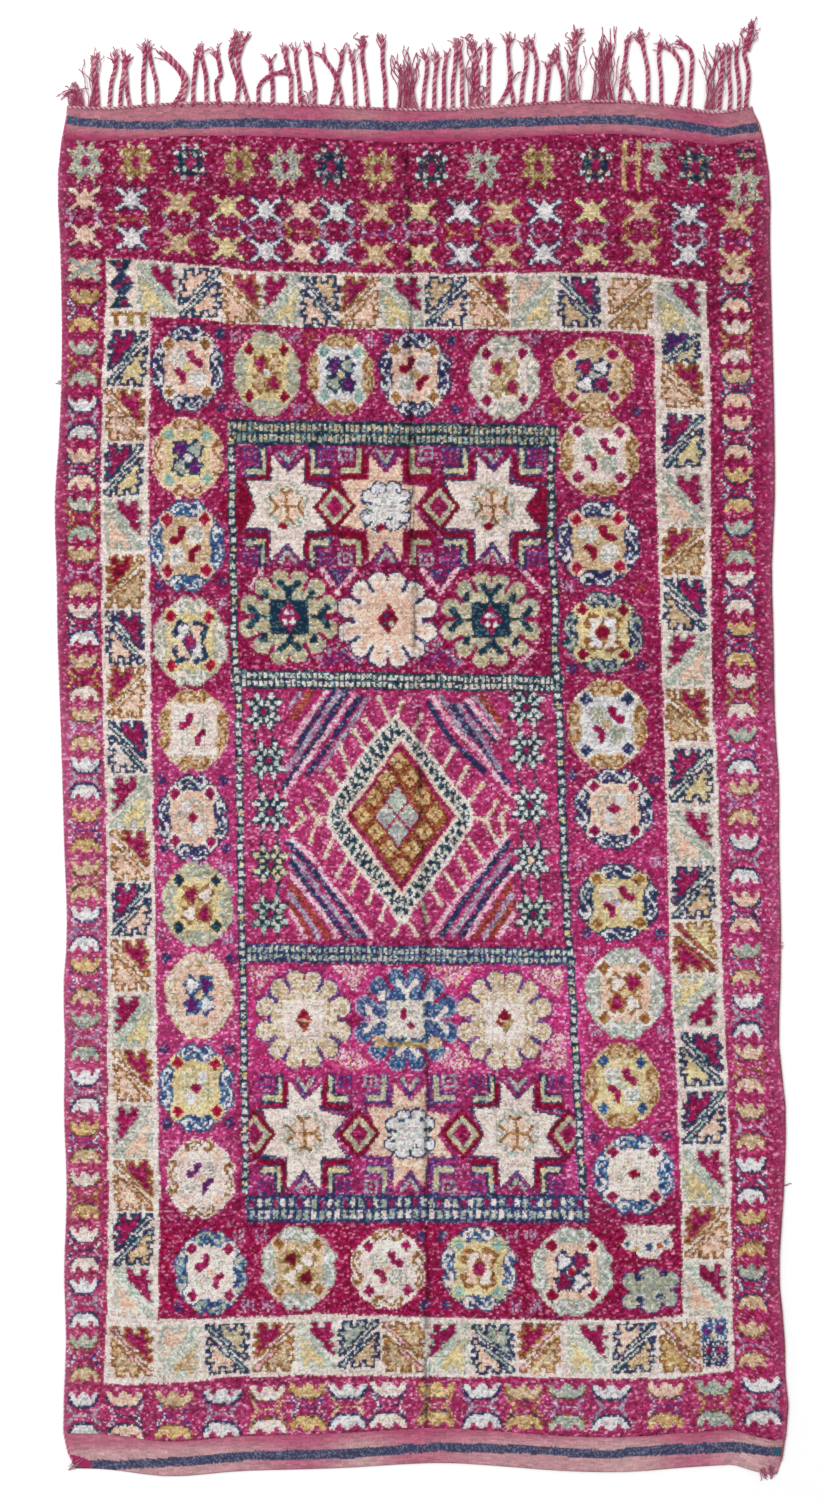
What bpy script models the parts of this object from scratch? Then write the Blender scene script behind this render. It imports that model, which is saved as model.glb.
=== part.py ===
"""A knotted wool rug with flat-woven ends and a warp fringe at its top end, laid flat.

Metres, +Z up, +Y towards the fringe. The origin is on the floor under the middle of the rug's box.
"""

import bpy
import bmesh
import numpy as np

# Thickness of the cloth, from the floor up
PILE_TOP = 0.009
END_TOP = 0.004
SIDE_TOP = 0.005
SIDE_SLOPE = 0.008

# The flat-woven band at each end, and how fast the pile rises behind it
TOP_BAND = 0.074
BOTTOM_BAND = 0.085
BAND_STEP = 0.010

# The fold line down the middle: half its width, and its depth in the pile
CREASE_HALF = 0.016
CREASE_DEPTH = 0.002

# The twined strip that the fringe is knotted into, along the top end
STRIP_DEPTH = 0.008
STRIP_GAP = 0.0003
STRIP_TOP = 0.0042

# A strand lies on the floor: its height over its width, and its width at the tip over that at the root
STRAND_HEIGHT = 0.6
TIP_SHARE = 0.45
STRAND_STEPS = 7

CENTIMETRE = 0.01
ROWS_DOWN = 44
COLUMNS_A_SIDE = 17

# The two sides, top to bottom: place along Y, then how far the left and the right side reach from x = 0
SIDES = (
    # y, left, right
    (1.6075, 0.886, 0.820),
    (1.5725, 0.891, 0.840),
    (1.5275, 0.900, 0.8525),
    (1.4525, 0.909, 0.866),
    (1.240, 0.904, 0.870),
    (1.0275, 0.900, 0.876),
    (0.8025, 0.906, 0.881),
    (0.590, 0.9185, 0.881),
    (0.4775, 0.914, 0.875),
    (0.2775, 0.911, 0.879),
    (0.040, 0.9025, 0.884),
    (-0.0725, 0.899, 0.8925),
    (-0.2225, 0.895, 0.8925),
    (-0.4975, 0.889, 0.8975),
    (-0.585, 0.896, 0.896),
    (-0.735, 0.8925, 0.8925),
    (-0.8975, 0.895, 0.909),
    (-1.0975, 0.888, 0.905),
    (-1.335, 0.8945, 0.894),
    (-1.460, 0.8895, 0.9065),
    (-1.5975, 0.894, 0.910),
    (-1.685, 0.897, 0.9185),
    (-1.7275, 0.894, 0.9075),
    (-1.7775, 0.8775, 0.899),
    (-1.7975, 0.8675, 0.8875),
)

# The two ends, left to right: place along X, then the y of the fringe end and of the plain end
ENDS = (
    # x, fringe end, plain end
    (-0.8875, 1.6075, -1.7975),
    (-0.800, 1.604, -1.799),
    (-0.6375, 1.615, -1.8175),
    (-0.450, 1.6175, -1.804),
    (-0.300, 1.6125, -1.800),
    (-0.1875, 1.6075, -1.796),
    (-0.050, 1.601, -1.7875),
    (0.050, 1.601, -1.784),
    (0.200, 1.610, -1.7925),
    (0.350, 1.620, -1.804),
    (0.525, 1.620, -1.806),
    (0.650, 1.606, -1.796),
    (0.7375, 1.5925, -1.791),
    (0.8125, 1.605, -1.795),
    (0.8375, 1.6075, -1.8115),
    (0.8625, 1.6075, -1.825),
    (0.885, 1.6075, -1.812),
)

# The fold line: place along Y, then its x
CREASE = (
    # y, x
    (1.620, -0.045),
    (1.030, -0.028),
    (0.550, -0.028),
    (0.250, -0.018),
    (-0.170, -0.003),
    (-0.520, 0.010),
    (-1.820, 0.013),
)

# The fringe, left to right, in centimetres: root from the left corner, sideways lean of the tip,
# reach, sideways bow half way up, and width
FRINGE_LEFT = -0.8875
STRANDS = (
    # root, lean, reach, bow, width
    (1.0, -2.0, 5.8, 0.0, 0.9), (2.5, -1.2, 5.2, 0.0, 0.9), (4.2, -0.8, 7.2, 0.0, 0.9),
    (6.5, -0.3, 11.2, -0.6, 1.0), (8.5, -0.5, 12.8, 0.4, 1.0), (11.0, 1.8, 13.2, -0.4, 1.1),
    (13.8, 0.7, 12.2, -0.3, 1.1), (16.0, 0.2, 14.0, -1.0, 1.0), (19.9, -0.2, 15.0, -0.9, 1.2),
    (23.2, -1.8, 14.2, 0.3, 1.2), (26.9, -2.7, 13.5, 0.9, 1.1), (29.8, -3.5, 11.8, 1.9, 1.1),
    (32.0, 0.8, 14.0, -0.3, 1.1), (35.5, -0.2, 13.8, 0.0, 1.2), (38.8, -1.5, 14.2, 0.8, 1.0),
    (42.8, -0.2, 17.5, -0.4, 1.6), (46.0, -1.0, 18.2, -1.0, 1.5), (48.5, 0.8, 7.2, -1.0, 1.0),
    (52.0, -0.8, 12.0, 0.2, 1.0), (56.0, -1.0, 15.2, 0.6, 1.1), (58.8, -2.0, 15.0, 0.3, 1.1),
    (62.2, -1.5, 15.5, 0.5, 1.1), (66.5, -2.2, 13.0, 1.2, 1.1), (69.2, -0.2, 14.0, -0.7, 1.1),
    (71.9, -0.4, 13.5, 0.3, 1.0), (75.8, -1.8, 17.5, 0.0, 1.0), (80.5, -1.2, 17.2, 0.2, 0.9),
    (83.8, -1.2, 14.0, 0.2, 1.4), (85.6, -0.6, 14.5, 0.0, 1.4), (87.4, -0.4, 14.0, -0.1, 1.4),
    (89.5, 0.6, 12.8, -0.1, 1.0), (92.3, 0.7, 13.5, -0.1, 1.0), (94.3, 0.9, 13.8, 0.0, 1.0),
    (96.5, 0.6, 15.5, 0.0, 1.0), (99.4, -1.0, 15.8, 0.3, 1.0), (102.0, -1.0, 18.2, 0.2, 1.4),
    (103.8, 0.5, 16.2, 0.0, 1.4), (105.8, 0.0, 16.0, 0.7, 1.0), (108.3, 1.7, 18.5, 0.0, 1.0),
    (111.2, 0.6, 17.8, 0.0, 1.1), (113.8, 0.8, 16.8, 0.0, 1.1), (116.8, -0.2, 16.5, 1.0, 1.1),
    (120.0, 1.0, 12.5, 0.0, 1.3), (123.9, 2.6, 18.5, -0.3, 1.1), (127.0, 1.5, 16.0, -0.5, 1.5),
    (131.2, 1.0, 17.2, 0.4, 1.2), (133.1, 1.5, 17.8, 0.0, 1.2), (135.0, 1.2, 20.0, -0.2, 1.2),
    (136.9, 1.2, 18.8, -0.2, 1.2), (138.8, 1.6, 18.5, -0.2, 1.0), (142.0, -0.3, 15.5, -0.6, 1.1),
    (145.9, -1.7, 18.5, 0.6, 1.2), (149.1, -0.4, 18.0, 0.0, 1.1), (152.2, -1.7, 15.8, 1.8, 1.1),
    (156.1, -1.9, 16.2, 0.9, 1.1), (161.2, -1.0, 17.0, 0.0, 1.3), (163.8, -0.5, 17.0, -0.4, 1.3),
    (166.0, -0.2, 15.8, -0.2, 1.0), (168.2, -0.3, 16.8, 0.0, 1.0), (170.3, 0.7, 22.0, 0.3, 1.1),
)


def clear_scene():
    for obj in list(bpy.data.objects):
        bpy.data.objects.remove(obj)


def wool(name, colour, roughness):
    material = bpy.data.materials.new(name)
    material.use_nodes = True
    shader = material.node_tree.nodes["Principled BSDF"]
    shader.inputs["Base Color"].default_value = (*colour, 1.0)
    shader.inputs["Roughness"].default_value = roughness
    shader.inputs["Metallic"].default_value = 0.0
    return material


def smooth_curve(rows, column):
    """A function through one column of a table, over its first column, with even tangents."""
    at = np.array([row[0] for row in rows])
    value = np.array([row[column] for row in rows])
    order = np.argsort(at)
    at, value = at[order], value[order]
    slope = np.gradient(value, at)

    def curve(x):
        x = np.clip(x, at[0], at[-1])
        i = np.clip(np.searchsorted(at, x) - 1, 0, len(at) - 2)
        step = at[i + 1] - at[i]
        t = (x - at[i]) / step
        rise = value[i + 1] - value[i]
        return (
            value[i]
            + rise * t * t * (3 - 2 * t)
            + step * t * (1 - t) * (slope[i] * (1 - t) - slope[i + 1] * t)
        )

    return curve


left_of = smooth_curve(SIDES, 1)
right_of = smooth_curve(SIDES, 2)
fringe_end = smooth_curve(ENDS, 1)
plain_end = smooth_curve(ENDS, 2)
crease_at = smooth_curve(CREASE, 1)


def place(across, down):
    """The point of the cloth at these shares of its width and length, both from 0 to 1."""
    x = (2 * across - 1) * left_of(0.0)
    y = 0.0
    for _ in range(6):
        top = fringe_end(x) - STRIP_DEPTH - STRIP_GAP
        y = top + (plain_end(x) - top) * down
        x = -left_of(y) * (1 - across) + right_of(y) * across
    return x, y


def rise(distance, reach):
    """0 at the edge and 1 from reach inwards, rounded at both ends."""
    t = np.clip(distance / reach, 0.0, 1.0)
    return t * t * (3 - 2 * t)


def cloth_top(x, y):
    """The height of the cloth's upper face."""
    from_end = fringe_end(x) - STRIP_DEPTH - y
    from_plain = y - plain_end(x)
    pile = rise(from_end - TOP_BAND, BAND_STEP) * rise(from_plain - BOTTOM_BAND, BAND_STEP)
    height = END_TOP + (PILE_TOP - END_TOP) * pile
    from_side = min(x + left_of(y), right_of(y) - x)
    edge = SIDE_TOP if pile > 0.5 else END_TOP
    height = edge + (height - edge) * rise(from_side, SIDE_SLOPE)
    crease = 1 - rise(abs(x - crease_at(y)), CREASE_HALF)
    return height - CREASE_DEPTH * crease * pile


def shares_down():
    """Where the cross rows of the cloth lie: even ones, and close ones where the pile rises at each end."""
    length = fringe_end(0.0) - plain_end(0.0)
    near = [band / length for band in (TOP_BAND, TOP_BAND + BAND_STEP / 2, TOP_BAND + BAND_STEP)]
    far = [1 - band / length for band in (BOTTOM_BAND + BAND_STEP, BOTTOM_BAND + BAND_STEP / 2, BOTTOM_BAND)]
    even = np.linspace(near[-1], far[0], ROWS_DOWN)[1:-1]
    return [0.0, near[0] / 2, *near, *even, *far, (1 + far[-1]) / 2, 1.0]


def columns_at(down):
    """The shares across the cloth at one row: its sides, their slopes, the fold line and even steps."""
    middle_x, middle_y = place(0.5, down)
    width = left_of(middle_y) + right_of(middle_y)
    slope = SIDE_SLOPE / width
    fold = (crease_at(middle_y) + left_of(middle_y)) / width
    half = CREASE_HALF / width
    left = [0.0, slope / 2, *np.linspace(slope, fold - half, COLUMNS_A_SIDE)]
    right = [*np.linspace(fold + half, 1 - slope, COLUMNS_A_SIDE), 1 - slope / 2, 1.0]
    return [*left, fold - half / 2, fold, fold + half / 2, *right]


def bridge(mesh, first, second):
    """Quads between two equal rows of vertices."""
    for a, b, c, d in zip(first, first[1:], second[1:], second):
        mesh.faces.new((a, b, c, d))


def zip_rows(mesh, first, second):
    """Triangles between two rows of unequal length, which both run towards +X."""
    i = j = 0
    while i < len(first) - 1 or j < len(second) - 1:
        if j == len(second) - 1 or (i < len(first) - 1 and first[i + 1].co.x <= second[j + 1].co.x):
            mesh.faces.new((first[i], first[i + 1], second[j]))
            i += 1
        else:
            mesh.faces.new((first[i], second[j + 1], second[j]))
            j += 1


def new_object(name, mesh, material):
    bmesh.ops.recalc_face_normals(mesh, faces=mesh.faces)
    data = bpy.data.meshes.new(name)
    mesh.to_mesh(data)
    mesh.free()
    data.materials.append(material)
    obj = bpy.data.objects.new(name, data)
    bpy.context.scene.collection.objects.link(obj)
    return obj


def build_cloth(material):
    """The whole woven cloth as one slab: its pile field, flat ends, worn sides and fold line."""
    mesh = bmesh.new()
    upper, lower = [], []
    for down in shares_down():
        points = [place(across, down) for across in columns_at(down)]
        upper.append([mesh.verts.new((x, y, cloth_top(x, y))) for x, y in points])
        lower.append([mesh.verts.new((x, y, 0.0)) for x, y in points])
    for rows in (upper, lower):
        for first, second in zip(rows, rows[1:]):
            bridge(mesh, first, second)
    bridge(mesh, upper[0], lower[0])
    bridge(mesh, upper[-1], lower[-1])
    for side in (0, -1):
        bridge(mesh, [row[side] for row in upper], [row[side] for row in lower])
    return new_object("rug", mesh, material)


def strand_sections(mesh, root, lean, reach, bow, width):
    """Rings of four vertices up one strand, from its first ring past the root to its tip."""
    x0 = FRINGE_LEFT + root
    y0 = fringe_end(x0)
    rings = []
    for step in range(1, STRAND_STEPS + 1):
        t = step / STRAND_STEPS
        x = x0 + lean * t + 4 * bow * t * (1 - t)
        y = y0 + reach * t
        half = width / 2 * (1 - (1 - TIP_SHARE) * t**3)
        high = STRIP_TOP + (width * STRAND_HEIGHT - STRIP_TOP) * min(1.0, 3 * t)
        high *= 1 - (1 - TIP_SHARE) * t**3
        corners = ((x - half, y, 0.0), (x + half, y, 0.0), (x + half, y, high), (x - half, y, high))
        rings.append([mesh.verts.new(corner) for corner in corners])
    return rings


def build_fringe(material):
    """The twined strip along the top end, with every strand of the fringe grown out of its outer face."""
    mesh = bmesh.new()
    strands = [[CENTIMETRE * size for size in row] for row in STRANDS]
    y_end = SIDES[0][0]
    stations = [-left_of(y_end)]
    for root, _, _, _, width in strands:
        stations += [FRINGE_LEFT + root - width / 2, FRINGE_LEFT + root + width / 2]
    stations.append(right_of(y_end))
    outer = [(x, fringe_end(x)) for x in stations]
    inner = [(x, y + STRIP_GAP) for x, y in (place(across, 0.0) for across in columns_at(0.0))]
    inner_low, outer_low = ([mesh.verts.new((x, y, 0.0)) for x, y in row] for row in (inner, outer))
    inner_high, outer_high = ([mesh.verts.new((x, y, STRIP_TOP)) for x, y in row] for row in (inner, outer))
    bridge(mesh, inner_low, inner_high)
    zip_rows(mesh, inner_high, outer_high)
    zip_rows(mesh, inner_low, outer_low)
    for end in (0, -1):
        mesh.faces.new((inner_low[end], inner_high[end], outer_high[end], outer_low[end]))
    for cell in range(0, len(stations) - 1, 2):
        bridge(mesh, outer_low[cell : cell + 2], outer_high[cell : cell + 2])
    for number, row in enumerate(strands):
        left, right = 2 * number + 1, 2 * number + 2
        ring = [outer_low[left], outer_low[right], outer_high[right], outer_high[left]]
        for following in strand_sections(mesh, *row):
            bridge(mesh, [*ring, ring[0]], [*following, following[0]])
            ring = following
        mesh.faces.new(ring)
    return new_object("fringe", mesh, material)


clear_scene()
build_cloth(wool("pile_wool", (0.42, 0.02, 0.13), 0.9))
build_fringe(wool("warp_wool", (0.46, 0.10, 0.20), 0.9))
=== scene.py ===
"""A knotted wool rug laid out flat, seen from straight above.

It is one piece off the loom: a wool ground cloth with a flat-woven band at each end, knotted pile
between the bands, overcast sides, and warp ends twisted into a fringe at the top.
Metres, +Z up, +Y towards the fringe.
"""

import math

import bpy
import numpy as np
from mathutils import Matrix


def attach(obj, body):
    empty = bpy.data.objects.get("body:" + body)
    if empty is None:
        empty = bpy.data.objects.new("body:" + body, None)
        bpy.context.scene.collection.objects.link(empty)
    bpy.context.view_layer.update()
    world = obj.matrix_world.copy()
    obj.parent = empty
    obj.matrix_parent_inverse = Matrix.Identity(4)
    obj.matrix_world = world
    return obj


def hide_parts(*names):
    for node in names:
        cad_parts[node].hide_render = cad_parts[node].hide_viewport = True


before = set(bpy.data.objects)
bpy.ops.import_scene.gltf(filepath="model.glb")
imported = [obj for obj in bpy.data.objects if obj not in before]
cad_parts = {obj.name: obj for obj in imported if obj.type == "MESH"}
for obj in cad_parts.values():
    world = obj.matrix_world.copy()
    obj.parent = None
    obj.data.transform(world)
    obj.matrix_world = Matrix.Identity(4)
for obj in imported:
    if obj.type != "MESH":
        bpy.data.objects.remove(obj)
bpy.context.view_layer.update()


# The view: the eye hangs straight above the rug, and white paper lies all round it.
FRAME_TALL = 3.75
EYE_HEIGHT = 6.0
SENSOR = 36.0
VIEW_X, VIEW_Y = -0.02625, -0.0025


def put_in_scene(name, data):
    made = bpy.data.objects.new(name, data)
    bpy.context.scene.collection.objects.link(made)
    return made


eye = bpy.data.cameras.new("eye")
eye.sensor_fit = "VERTICAL"
eye.sensor_height = SENSOR
eye.lens = SENSOR * EYE_HEIGHT / FRAME_TALL
eye.clip_end = 60.0
camera = put_in_scene("camera", eye)
camera.location = (VIEW_X, VIEW_Y, EYE_HEIGHT)
bpy.context.scene.camera = camera


# Studio light: a white tent all round, and one broad soft lamp up and to the left,
# so that the tufts keep a little shade on their lower right.
TENT_STRENGTH = 0.80
LAMP_POWER = 640.0
LAMP_SIDE = 4.0
LAMP_PLACE = (-5.6, 4.4, 8.6)

tent = bpy.data.worlds.new("tent")
tent.use_nodes = True
tent.node_tree.nodes["Background"].inputs["Color"].default_value = (1.0, 1.0, 1.0, 1.0)
tent.node_tree.nodes["Background"].inputs["Strength"].default_value = TENT_STRENGTH
bpy.context.scene.world = tent
bpy.context.scene.view_settings.view_transform = "Standard"

lamp_data = bpy.data.lights.new("lamp", "AREA")
lamp_data.energy = LAMP_POWER
lamp_data.size = LAMP_SIDE
lamp = put_in_scene("lamp", lamp_data)
lamp.location = LAMP_PLACE
lamp.rotation_euler = (
    math.atan2(math.hypot(LAMP_PLACE[0], LAMP_PLACE[1]), LAMP_PLACE[2]),
    0.0,
    math.atan2(LAMP_PLACE[0], -LAMP_PLACE[1]),
)


# The floor: a wide roll of matt white paper, not part of the rug.
# Every finish below is made with these two classes: a tree of shader nodes, and a value in it.
FLOOR_HALF = 14.0


class Finish:
    """A material's node tree, which ends in one soft matt shader."""

    def __init__(self, name, roughness, **constants):
        self.material = bpy.data.materials.new(name)
        self.material.use_nodes = True
        self.tree = self.material.node_tree
        self.shader = self.tree.nodes["Principled BSDF"]
        self.shader.inputs["Roughness"].default_value = roughness
        for socket, number in constants.items():
            self.shader.inputs[socket.replace("_", " ")].default_value = number

    def node(self, kind, settings, sockets, output=0):
        """A new node of this kind, with its settings and its inputs; a value is linked, a constant is set."""
        made = self.tree.nodes.new(kind)
        for key, setting in settings.items():
            if key == "stops":
                for stop in made.color_ramp.elements[1:]:
                    made.color_ramp.elements.remove(stop)
                made.color_ramp.elements[0].position = setting[0][0]
                made.color_ramp.elements[0].color = setting[0][1]
                for place, colour in setting[1:]:
                    made.color_ramp.elements.new(place).color = colour
            else:
                setattr(made, key, setting)
        for key, value in sockets.items():
            if isinstance(value, Value):
                self.tree.links.new(value.socket, made.inputs[key])
            else:
                made.inputs[key].default_value = value
        return Value(self, made.outputs[output])

    def feed(self, socket, value):
        self.tree.links.new(value.socket, self.shader.inputs[socket])

    def spot(self):
        """Where on the rug the shader works, in metres."""
        return self.node("ShaderNodeTexCoord", {}, {}, "Object")

    def stretched(self, x, y, z):
        """The same, with each axis scaled for a noise that is longer one way."""
        return self.node("ShaderNodeVectorMath", {"operation": "MULTIPLY"}, {0: self.spot(), 1: (x, y, z)})

    def noise(self, where, scale, detail=2.0, rough=0.5):
        sockets = {"Vector": where, "Scale": scale, "Detail": detail, "Roughness": rough}
        return self.node("ShaderNodeTexNoise", {}, sockets, "Fac")

    def shade(self, colour, factor):
        """A colour made lighter or darker by a value."""
        return self.node("ShaderNodeVectorMath", {"operation": "SCALE"}, {0: colour, "Scale": factor})

    def relief(self, height, distance, strength=1.0):
        sockets = {"Height": height, "Distance": distance, "Strength": strength}
        self.feed("Normal", self.node("ShaderNodeBump", {}, sockets))


class Value:
    """A socket in a finish, which Python's operators turn into Math nodes."""

    def __init__(self, finish, socket):
        self.finish = finish
        self.socket = socket

    def maths(self, operation, first, second):
        return self.finish.node("ShaderNodeMath", {"operation": operation}, {0: first, 1: second})

    def __add__(self, other):
        return self.maths("ADD", self, other)

    def __mul__(self, other):
        return self.maths("MULTIPLY", self, other)

    def __sub__(self, other):
        return self.maths("SUBTRACT", self, other)

    __radd__ = __add__
    __rmul__ = __mul__


def paper_finish():
    paper = Finish("white paper", 0.9)
    grain = paper.noise(paper.spot(), scale=240.0)
    paper.feed("Base Color", paper.shade((0.93, 0.93, 0.93), 0.98 + 0.03 * grain))
    return paper.material


floor_corners = [(x * FLOOR_HALF, y * FLOOR_HALF, 0.0) for x, y in ((-1, -1), (1, -1), (1, 1), (-1, 1))]
floor_mesh = bpy.data.meshes.new("floor")
floor_mesh.from_pydata(floor_corners, [], [(0, 1, 2, 3)])
floor_mesh.materials.append(paper_finish())
floor = put_in_scene("floor", floor_mesh)


# The fringe: the warp ends at the top, some forty of them twisted in pairs into two-ply cords,
# others left loose and frayed. Wool, faded mauve-pink, lying on the floor as they fell.
# Their paths, across and down by turns, count in the weaver's steps of 2.5 mm from the corner of the view.
STEP = 0.0025
DESIGN_LEFT = -1.055
DESIGN_TOP = 1.8725
CORD_WINDING = dict(Radius=0.0032, Spread=0.0031, Flatness=0.62, Twist=0.017, Step=0.0027, Sides=5)
PATH_SPACING = 0.006
CORD_LIFT = 0.0054
CORD_WAVER = 0.0008
ROOT_LIFT = 0.0056
ROOT_FALL = 0.012
CROSSING_CORDS = (7, 19, 30)
CROSSING_LIFT = 0.0042
CROSSING_HALF = 0.035
TAPER = 0.55
TAPER_LENGTH = 0.03

CORD_PATHS = (
    (98, 107, 97, 84, 94, 68, 96, 57), (109, 107, 112, 82, 115, 70, 116, 56),
    (120, 107, 122, 84, 124, 70, 125, 57), (130, 107, 127, 88, 126, 72, 126, 62),
    (145, 107, 143, 84, 145, 62, 144, 47), (157, 107, 156, 82, 151, 62, 148, 47),
    (173, 107, 183, 88, 182, 76, 170, 62, 161, 54), (180, 107, 186, 90, 186, 78, 176, 64, 166, 53),
    (193, 107, 194, 82, 196, 62, 199, 51), (207, 107, 206, 80, 203, 62, 200, 51),
    (220, 107, 216, 84, 221, 76, 219, 62, 215, 52), (236, 107, 238, 84, 232, 64, 230, 52, 235, 37),
    (249, 107, 243, 84, 238, 62, 242, 48, 246, 38), (258, 107, 259, 88, 266, 79, 275, 74, 286, 73),
    (272, 107, 273, 88, 271, 74, 270, 60), (291, 107, 291, 84, 288, 68, 284, 47),
    (301, 107, 299, 84, 297, 66, 295, 49), (315, 107, 314, 84, 311, 64, 309, 47),
    (331, 108, 335, 90, 338, 78, 341, 64, 342, 51), (342, 108, 340, 92, 335, 76, 327, 64, 321, 55),
    (355, 108, 355, 86, 353, 68, 351, 55), (368, 109, 366, 86, 363, 64, 362, 44),
    (386, 110, 385, 88, 383, 66, 382, 40), (423, 110, 424, 88, 427, 72, 426, 57),
    (434, 110, 434, 88, 436, 70, 437, 55), (443, 110, 444, 88, 444, 72, 446, 57),
    (452, 108, 453, 84, 455, 62, 457, 44), (462, 108, 462, 84, 461, 62, 459, 44),
    (475, 107, 477, 84, 475, 62, 473, 48), (488, 107, 488, 84, 489, 62, 489, 47),
    (498, 107, 506, 92, 510, 78, 508, 58, 508, 38), (513, 107, 512, 96, 510, 86, 511, 77),
    (520, 106, 523, 84, 526, 62, 525, 43), (533, 105, 536, 80, 536, 60, 531, 42),
    (545, 105, 547, 88, 548, 76, 549, 62), (563, 104, 563, 86, 560, 70, 555, 56),
    (576, 103, 573, 84, 572, 66, 575, 46, 575, 34), (619, 103, 621, 84, 624, 66, 627, 40),
    (634, 103, 631, 92, 626, 84, 624, 76), (647, 105, 648, 84, 646, 64, 641, 38),
    (661, 106, 661, 84, 659, 64, 659, 42), (675, 108, 680, 88, 681, 66, 674, 54, 666, 47),
    (689, 109, 690, 84, 692, 64, 689, 50, 680, 43), (719, 110, 720, 88, 722, 70, 721, 52),
    (729, 110, 730, 88, 728, 70, 729, 49), (738, 110, 739, 88, 736, 66, 737, 47),
    (745, 109, 748, 84, 747, 66, 744, 52, 749, 36, 752, 25),
)

# Loose, frayed warps: root from and to, tip from and to, how many threads, and how they bend
FRAYED_WARPS = (
    (69, 107, 84, 107, 58, 97, 80, 80, 22, 2, -6), (88, 107, 96, 107, 88, 62, 97, 56, 11, 2, 0),
    (234, 58, 238, 58, 228, 36, 240, 38, 10, 0, 0), (396, 111, 418, 111, 394, 52, 413, 50, 28, 1, 4),
    (361, 48, 365, 48, 356, 36, 366, 36, 8, 0, 0), (472, 54, 475, 54, 463, 36, 474, 38, 8, 0, 0),
    (590, 104, 615, 104, 596, 38, 616, 28, 30, 0, 4), (573, 50, 577, 50, 568, 34, 582, 33, 10, 0, 0),
    (704, 110, 714, 110, 706, 44, 720, 50, 16, 1, 4), (468, 107, 480, 107, 468, 46, 478, 44, 16, 0, 3),
    (567, 104, 580, 103, 568, 46, 574, 40, 12, 0, 3), (557, 62, 560, 62, 550, 56, 556, 48, 8, 0, 0),
    (639, 44, 643, 44, 634, 34, 644, 30, 8, 0, 0), (745, 52, 749, 52, 740, 30, 755, 22, 10, 0, 0),
    (478, 108, 484, 108, 477, 88, 484, 84, 6, 0, 0), (305, 106, 309, 106, 303, 92, 308, 86, 5, 0, 0),
)


def metres(across, down):
    """The place on the rug of a point of the design."""
    return DESIGN_LEFT + STEP * np.asarray(across), DESIGN_TOP - STEP * np.asarray(down)


def steps(x, y):
    """The point of the design at a place on the rug."""
    return (x - DESIGN_LEFT) / STEP, (DESIGN_TOP - y) / STEP


def on_rug(point):
    """The place of one point of the design, as an array."""
    return np.array(metres(*point))


def pairs(numbers):
    """The points of a flat list, which gives across and down by turns."""
    return np.reshape(numbers, (-1, 2))


def run_along(line):
    """How far each point of a line is from its start."""
    return np.concatenate([[0], np.cumsum(np.linalg.norm(np.diff(line, axis=0), axis=1))])


def rounded_path(points, spacing):
    """Points evenly along a smooth curve through these ones."""
    points = np.asarray(points, float)
    ends = [2 * points[0] - points[1], *points, 2 * points[-1] - points[-2]]
    fine = []
    for a, b, c, d in zip(ends, ends[1:], ends[2:], ends[3:]):
        t = np.linspace(0, 1, 12, endpoint=False)[:, None]
        fine.append(
            0.5 * (2 * b + (c - a) * t + (2 * a - 5 * b + 4 * c - d) * t**2 + (3 * b - a - 3 * c + d) * t**3)
        )
    fine = np.vstack([*fine, points[-1:]])
    along = run_along(fine)
    even = np.linspace(0, along[-1], max(2, round(along[-1] / spacing) + 1))
    return np.stack([np.interp(even, along, column) for column in fine.T], axis=1)


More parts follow.
